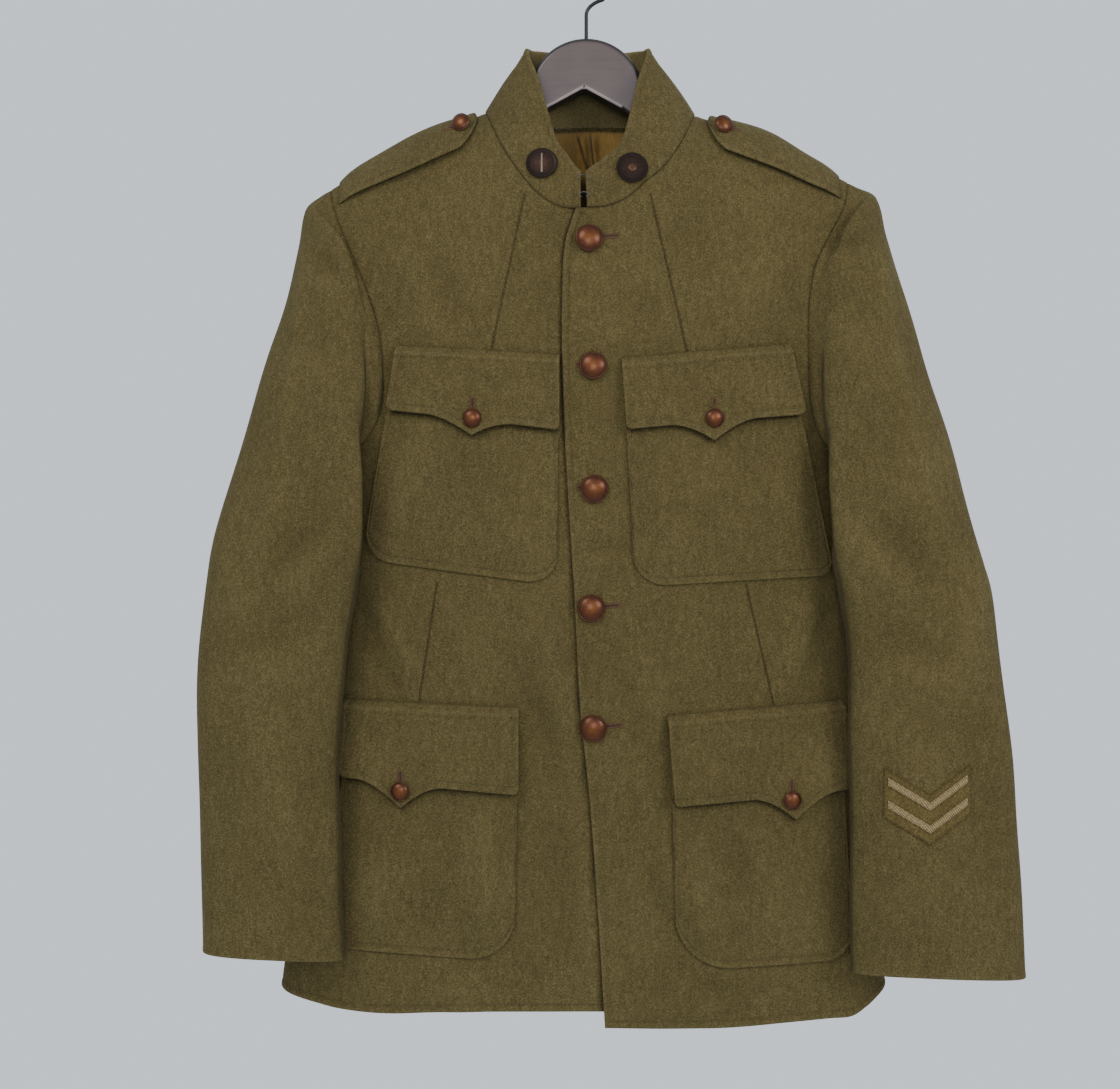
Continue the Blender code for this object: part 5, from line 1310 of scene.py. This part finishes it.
def makeButtons():
    wide, tall, few = buttons["radius"], buttons["height"], buttons["fewSegments"]
    big = turnedPiece("bigButton", buttonProfile(wide["front"], tall["front"]), buttons["segments"])
    small = turnedPiece("smallButton", buttonProfile(wide["pocket"], tall["small"]), few)
    strapButton = turnedPiece("strapButton", buttonProfile(wide["strap"], tall["small"]), few)
    base = cloth["wall"] / 2 + 0.1
    for number, (across, height) in enumerate(buttons["front"], start=1):
        place, normal = pointAndNormal(lambda out: frontLayer(across, height, out, "left"), base)
        copy = standOn(big, "bronzeButton%d" % number, place, normal, buttons["frontTilt"][number - 1])
        dressPiece(copy, "bronze", "bronze", "button_front_%d" % number)
    for name, (across, height) in buttons["pocket"].items():
        out = flapPlace(name, across, height)
        place, normal = pointAndNormal(lambda lift: frontLayer(across, height, lift, name.split("_")[1]), out)
        copy = standOn(small, "bronzeButton_" + name, place, normal, buttons["pocketTilt"])
        dressPiece(copy, "bronze", "bronze", "button_" + name)
    for side in ("left", "right"):
        share, crossing = buttons["strapShare"], buttons["strapCrossing"]
        lift = float(hermite(strapForm["share"], strapForm["lift"], share))
        out = cloth["wall"] / 2 + 2 * cloth["lay"] + lift + cloth["strap"] - buttons["strapSink"]
        place, normal = pointAndNormal(lambda level: strapLayer(side, share, crossing, level), out)
        name = "bronzeButtonStrap" + side.capitalize()
        copy = standOn(strapButton, name, place + normal * buttons["strapRise"], normal, buttons["strapTilt"])
        dressPiece(copy, "bronze", "bronze", "button_strap_" + side)
    for model in (big, small, strapButton):
        bpy.data.objects.remove(model)


makeButtons()

discs = {"right": (-36, -178), "left": (36, -182), "radius": 12.7, "bar": (1.6, 16.5, 1.1)}


# Plain screw-back discs: a rolled rim, a fine ring, and a bar or a boss in the middle
def makeDiscs():
    r = discs["radius"]
    profile = [(3.0, 0.0), (3.0, 0.9), (r * 0.95, 1.0), (r, 1.5), (r * 0.99, 2.1), (r * 0.95, 2.5),
               (r * 0.9, 2.45), (r * 0.87, 2.0), (r * 0.80, 1.9), (r * 0.78, 2.15), (r * 0.74, 2.15),
               (r * 0.72, 1.9), (r * 0.3, 1.95)]
    ends = {"right": [(0.4, 2.0)], "left": [(r * 0.28, 2.35), (r * 0.2, 2.7), (0.5, 2.85)]}
    for side, guess in (("right", 0.45), ("left", 3.55)):
        across, height = discs[side]
        model = turnedPiece("disc" + side.capitalize() + "Model", profile + ends[side], 48)
        way, rise = seenAt(collar, across, height, np.array(guess), np.array(0.5), 15)
        base = cloth["collar"] / 2 + 0.15
        place, normal = pointAndNormal(lambda out: collarLayer(way, rise, np.array(out)), base)
        copy = standOn(model, "collarDisc" + side.capitalize(), place, normal)
        dressPiece(copy, "dark_bronze", "dark_bronze", "disc_" + side)
        bpy.data.objects.remove(model)
        if side == "right":
            wide, long, deep = discs["bar"]
            startPiece()
            bpy.ops.mesh.primitive_cube_add(size=1, location=(0, 0, 2.2 * mm),
                                            scale=(wide * mm, long * mm, deep * mm))
            bar = bpy.context.object
            bpy.ops.object.transform_apply(location=True, rotation=True, scale=True)
            bevel = bar.modifiers.new("round", "BEVEL")
            bevel.width, bevel.segments = 0.35 * mm, 3
            bpy.ops.object.modifier_apply(modifier="round")
            bpy.ops.object.shade_smooth_by_angle(angle=np.radians(50))
            dressPiece(standOn(bar, "collarDiscBar", place, normal), "rubbed", "dark_bronze")
            bpy.data.objects.remove(bar)


makeDiscs()


# Round wire through points, turned into a mesh
def wirePiece(name, points, radius, finish, slotName, *nodes):
    startPiece()
    curve = bpy.data.curves.new(name, "CURVE")
    curve.dimensions = "3D"
    curve.bevel_depth = radius * mm
    curve.bevel_resolution = 5
    curve.use_fill_caps = True
    spline = curve.splines.new("POLY")
    spline.points.add(len(points) - 1)
    for target, point in zip(spline.points, points):
        target.co = (*[float(c) * mm for c in point], 1)
    piece = bpy.data.objects.new(name, curve)
    bpy.context.scene.collection.objects.link(piece)
    piece.select_set(True)
    bpy.context.view_layer.objects.active = piece
    bpy.ops.object.convert(target="MESH")
    bpy.ops.object.shade_smooth_by_angle(angle=np.radians(40))
    return dressPiece(bpy.context.object, finish, slotName, *nodes)


def makeCollarHooks():
    for number, rise in ((1, 0.72), (2, 0.30)):
        half = cloth["collar"] / 2 + 1.1
        left, right = (collarLayer(np.array(way), np.array(rise), np.array(half)) for way in (0.06, 3.94))
        low, high = (collar(np.array(0.06), np.array(rise + step)) for step in (-0.1, 0.1))
        slope = (high[1] - low[1]) / (high[2] - low[2])
        middle, reach = (left + right) / 2, 3.6
        turn = np.pi * (np.linspace(0, 1, 40) - 0.5) * 1.7
        up = 2.0 * np.cos(turn)
        loop = np.stack([middle[0] + reach * np.sin(turn), min(left[1], right[1]) - 0.9 + slope * up,
                         middle[2] + up], axis=-1)
        wirePiece("hookAndEye%d" % number, loop, 0.45, "steel", "steel", "collar_hook_%d" % number)


makeCollarHooks()

hanger = {
    "thick": 13.0, "round": 4.0, "seat": 2.9, "hump": 47.0, "humpTop": -67.3, "notch": (-1.8, -108.8),
    "slope": 0.545, "arm": {"right": -196.0, "left": 203.0}, "armHeight": (30.0, 20.0),
    "wire": 1.6, "inside": 19.0, "bendHeight": -48.0, "rearSwell": 9.0, "swellEnds": (38.0, 60.0),
}


def armSeat(across):
    height = shoulderHeight(across)
    depth = np.minimum(*(hermite(body["height"], body[part], height) for part in ("front", "back")))
    boxy = body["boxiness"]
    depth = depth * (1 - (np.abs(across) / halfWidth(height, across)) ** boxy) ** (1 / boxy)
    seats = []
    half = hanger["thick"] / 2
    for edge, lowered in ((half - hanger["round"], 0.0), (half, hanger["round"])):
        swell = np.minimum((edge + cloth["wall"] / 2 + cloth["seam"]) / depth, 1)
        seats.append(shoulder["roll"] * (1 - (1 - swell**2) ** 0.5) - lowered)
    return np.maximum(*seats) + (cloth["wall"] / 2 + cloth["seam"]) * 1.12 + hanger["seat"]


def armLine(side, near, count, below):
    across = np.linspace(hanger["arm"][side], near, count)
    height = shoulderHeight(across) - armSeat(across)
    if below:
        height = height - np.interp(np.abs(across), (60, 205), hanger["armHeight"])
    return list(zip(across, height))


def makeHanger():
    x, z = hanger["notch"]
    hump = [(hanger["hump"] * np.sin(turn), hanger["humpTop"] - hanger["hump"] * (1 - np.cos(turn)))
            for turn in np.radians(np.linspace(-76, 76, 61))]
    rim = armLine("right", -64.0, 24, False) + hump + armLine("left", 66.0, 24, False)[::-1]
    rim += armLine("left", 62.0, 20, True) + [(x + 30, z - 30 * hanger["slope"]), (x, z)]
    rim += [(x - 30, z - 30 * hanger["slope"])] + armLine("right", -66.0, 20, True)[::-1]
    startPiece()
    bpy.ops.mesh.primitive_circle_add(vertices=len(rim), fill_type="NGON")
    piece = bpy.context.object
    piece.name = "woodenHanger"
    for vertex, (across, height) in zip(piece.data.vertices, rim):
        vertex.co = (across * mm, -hanger["thick"] / 2 * mm, height * mm)
    bpy.ops.object.mode_set(mode="EDIT")
    bpy.ops.mesh.select_all(action="SELECT")
    bpy.ops.mesh.extrude_region_move(TRANSFORM_OT_translate={"value": (0, hanger["thick"] * mm, 0)})
    bpy.ops.mesh.select_all(action="SELECT")
    bpy.ops.mesh.normals_make_consistent(inside=False)
    bpy.ops.object.mode_set(mode="OBJECT")
    bevel = piece.modifiers.new("round", "BEVEL")
    bevel.width, bevel.segments, bevel.limit_method = hanger["round"] * mm, 5, "ANGLE"
    bevel.angle_limit = np.radians(50)
    bpy.ops.object.modifier_apply(modifier="round")
    # The hump is thicker to the rear, as its dark underside shows
    near, far = hanger["swellEnds"]
    for vertex in piece.data.vertices:
        if vertex.co.y > 0:
            vertex.co.y += hanger["rearSwell"] * mm * (1 - smoothStep(near * mm, far * mm, abs(vertex.co.x)))
    bpy.ops.object.shade_smooth_by_angle(angle=np.radians(40))
    dressPiece(piece, "wood", "wood", "hanger")
    piece.data.materials.append(finishes["woodEdgeShade"])
    piece.data.materials.append(finishes["woodHighlight"])
    # Side and bevel faces are near black: the hanger's dark edge together with painted shade on its underside
    for face in piece.data.polygons:
        face.material_index = 0 if abs(face.normal.y) > 0.95 else 1
        # Painted highlight on the front bevel under the middle V
        if -0.9 < face.normal.y < -0.6 and face.normal.z < -0.2 and abs(face.center.x) < 45 * mm:
            face.material_index = 2
        face.use_smooth = abs(face.normal.y) < 0.995
    radius = hanger["inside"] + hanger["wire"]
    start = np.radians(140)
    stem = np.array((0, 0, hanger["bendHeight"]))
    heights = np.linspace(hanger["humpTop"] - 1.5, hanger["bendHeight"], 8)
    points = [np.array((0, 0, height)) for height in heights]
    first = np.array((radius * np.sin(start), 0, -hanger["inside"] + radius * np.cos(start)))
    for t in np.linspace(0, 1, 16)[1:-1]:
        points.append((1 - t) ** 2 * stem + 2 * t * (1 - t) * (stem + np.array((0, 0, 9))) + t**2 * first)
    for turn in np.radians(np.linspace(140, -110, 70)):
        points.append(np.array((radius * np.sin(turn), 0, -hanger["inside"] + radius * np.cos(turn))))
    wirePiece("hangerHook", points, hanger["wire"], "black_wire", "black_wire", "hanger_hook")


makeHanger()
print("buttons, discs, hooks and hanger made")


# Dart seams and worked buttonholes
seams = {
    "darts": (("right", (-50, -202), (-78, -334)), ("left", (50, -202), (81, -336)),
              ("right", (-120, -512), (-135, -610)), ("left", (127, -514), (150, -612))),
    "section": ((-1.5, -0.5), (-1.0, 0.25), (-0.3, 0.6), (0.3, 0.55), (0.6, 0.05), (0.7, -0.5)),
    "holes": {"front": 19.0, "pocket": 15.0, "strap": (0.90, 0.78)}, "whip": (0.35, 2.3), "whipLift": 0.3,
    "openRight": (0, 3, 4), "dark": -1.3,
}


# A worked hole: a dark slit with whipped stitches all round it
def workedHole(layer, start, end, out):
    count = 26
    line = np.linspace(0, 1, count)[:, None] * (np.array(end) - np.array(start)) + np.array(start)
    path = layer(line[:, 0], line[:, 1], out)
    up = layer(line[:, 0], line[:, 1], out + 1.0) - path
    slit = sweep(path, up, ((-0.45, -0.4), (-0.35, 0.12), (0.35, 0.12), (0.45, -0.4)))
    along = np.gradient(path, axis=0)
    side = np.cross(along, up)
    side = side / np.linalg.norm(side, axis=1, keepdims=True)
    turns = np.radians((-60, -30, 0, 30, 60))
    rays = [(k, side[k] * sign) for sign in (-1, 1) for k in range(count)]
    for k, sign in ((0, -1), (count - 1, 1)):
        forward = along[k] / np.linalg.norm(along[k]) * sign
        rays += [(k, forward * np.cos(turn) + side[k] * np.sin(turn)) for turn in turns]
    runs = []
    for k, ray in rays:
        rung = path[k] + up[k] * seams["whipLift"] + np.outer(seams["whip"], ray)
        runs.append(stitches(rung, np.stack([up[k], up[k]]), 1.9, 0.42, 0.98, 0))
    return slit, runs


def makeSeams():
    lips = []
    for side, start, end in seams["darts"]:
        line = np.linspace(0, 1, 60)[:, None] * (np.array(end) - np.array(start)) + np.array(start)
        path = frontLayer(line[:, 0], line[:, 1], cloth["wall"] / 2, side)
        up = frontLayer(line[:, 0], line[:, 1], cloth["wall"] / 2 + 1.0, side) - path
        lips.append(sweep(path, up, seams["section"]))
    # The dart lips are painted darker, a painted shade along the seam
    darts = joined("dartSeams", lips, "wool", "wool")
    dark = np.full(len(darts.data.vertices), seams["dark"], np.float32)
    darts.data.attributes.new("paintedShading", "FLOAT", "POINT").data.foreach_set("value", dark)
    slits, whips = [], []

    def add(layer, start, end, out):
        slit, runs = workedHole(layer, start, end, out)
        slits.append(slit)
        whips.extend(runs)

    # Some front holes show to the right of their button, the others only as a short end to its left
    for number, (x, z) in enumerate(buttons["front"]):
        layer = lambda across, height, out: frontLayer(across, height, out, "left")
        ends = (x - 10, z + 1), (x - 12.5, z + 1)
        if number in seams["openRight"]:
            ends = (x + 3, z + 1), (x + 3 + seams["holes"]["front"], z + 2.5)
        add(layer, *ends, cloth["wall"] / 2)
    for name, (x, z) in buttons["pocket"].items():
        layer = lambda across, height, out: frontLayer(across, height, out, name.split("_")[1])
        add(layer, (x, z - 1), (x, z + seams["holes"]["pocket"]), flapPlace(name, x, z + 8) - 0.25)
    for side in ("left", "right"):
        level = cloth["wall"] / 2 + cloth["lay"] + cloth["strap"] - 0.3
        layer = lambda share, crossing, out: strapLayer(
            side, share, crossing, out + hermite(strapForm["share"], strapForm["lift"], share))
        start, end = ((share, buttons["strapCrossing"]) for share in seams["holes"]["strap"])
        add(layer, start, end, level)
    joined("buttonholeSlits", slits, "slit", "wool")
    joined("buttonholeStitching", whips, "eyeThread", "wool")


makeSeams()
print("seams and buttonholes made")

# Stage: pale floor below the hung coat, soft light from the front left
stage = {
    "floorHeight": -1.75, "floorSize": 2.4, "world": "#e2e9f2", "worldStrength": 1.1,
    "lights": (("key", (-1.4, -2.1, 1.2), 1.4, 40, "#fff8ee"),
               ("fill", (1.8, -2.0, 0.3), 1.2, 36, "#fff9f2"),
               ("front", (0.0, -2.6, -0.2), 1.0, 16, "#ffffff"),
               ("rear", (0.6, 2.4, 0.6), 2.0, 36, "#ffffff")),
    "aim": (0.0, 0.0, -0.45),
}


def makeStage():
    startPiece()
    bpy.ops.mesh.primitive_plane_add(size=stage["floorSize"], location=(0, 0, stage["floorHeight"]))
    floor = bpy.context.object
    floor.name = "floor"
    material, tree, shader = newMaterial("pale_matt_paint", Roughness=0.9)
    place = addNode(tree, "ShaderNodeTexCoord").outputs["Object"]
    tone = blendOf(tree, 0.5, (noiseOf(tree, place, 400, 3), 0.6))
    tree.links.new(rampOf(tree, tone, (0.1, "#cfd3d6"), (0.9, "#dfe2e4")), shader.inputs["Base Color"])
    floor.data.materials.append(material)
    world = bpy.data.worlds.new("paleStudio")
    world.use_nodes = True
    background = world.node_tree.nodes["Background"]
    background.inputs["Color"].default_value = linear(stage["world"])
    background.inputs["Strength"].default_value = stage["worldStrength"]
    bpy.context.scene.world = world
    for name, place, size, power, colour in stage["lights"]:
        light = bpy.data.lights.new(name, "AREA")
        light.shape = "DISK"
        light.size = size
        light.energy = power
        light.color = linear(colour)[:3]
        lamp = bpy.data.objects.new(name, light)
        lamp.location = place
        lamp.rotation_euler = (Vector(stage["aim"]) - Vector(place)).to_track_quat("-Z", "Y").to_euler()
        bpy.context.scene.collection.objects.link(lamp)


makeStage()
print("stage made")
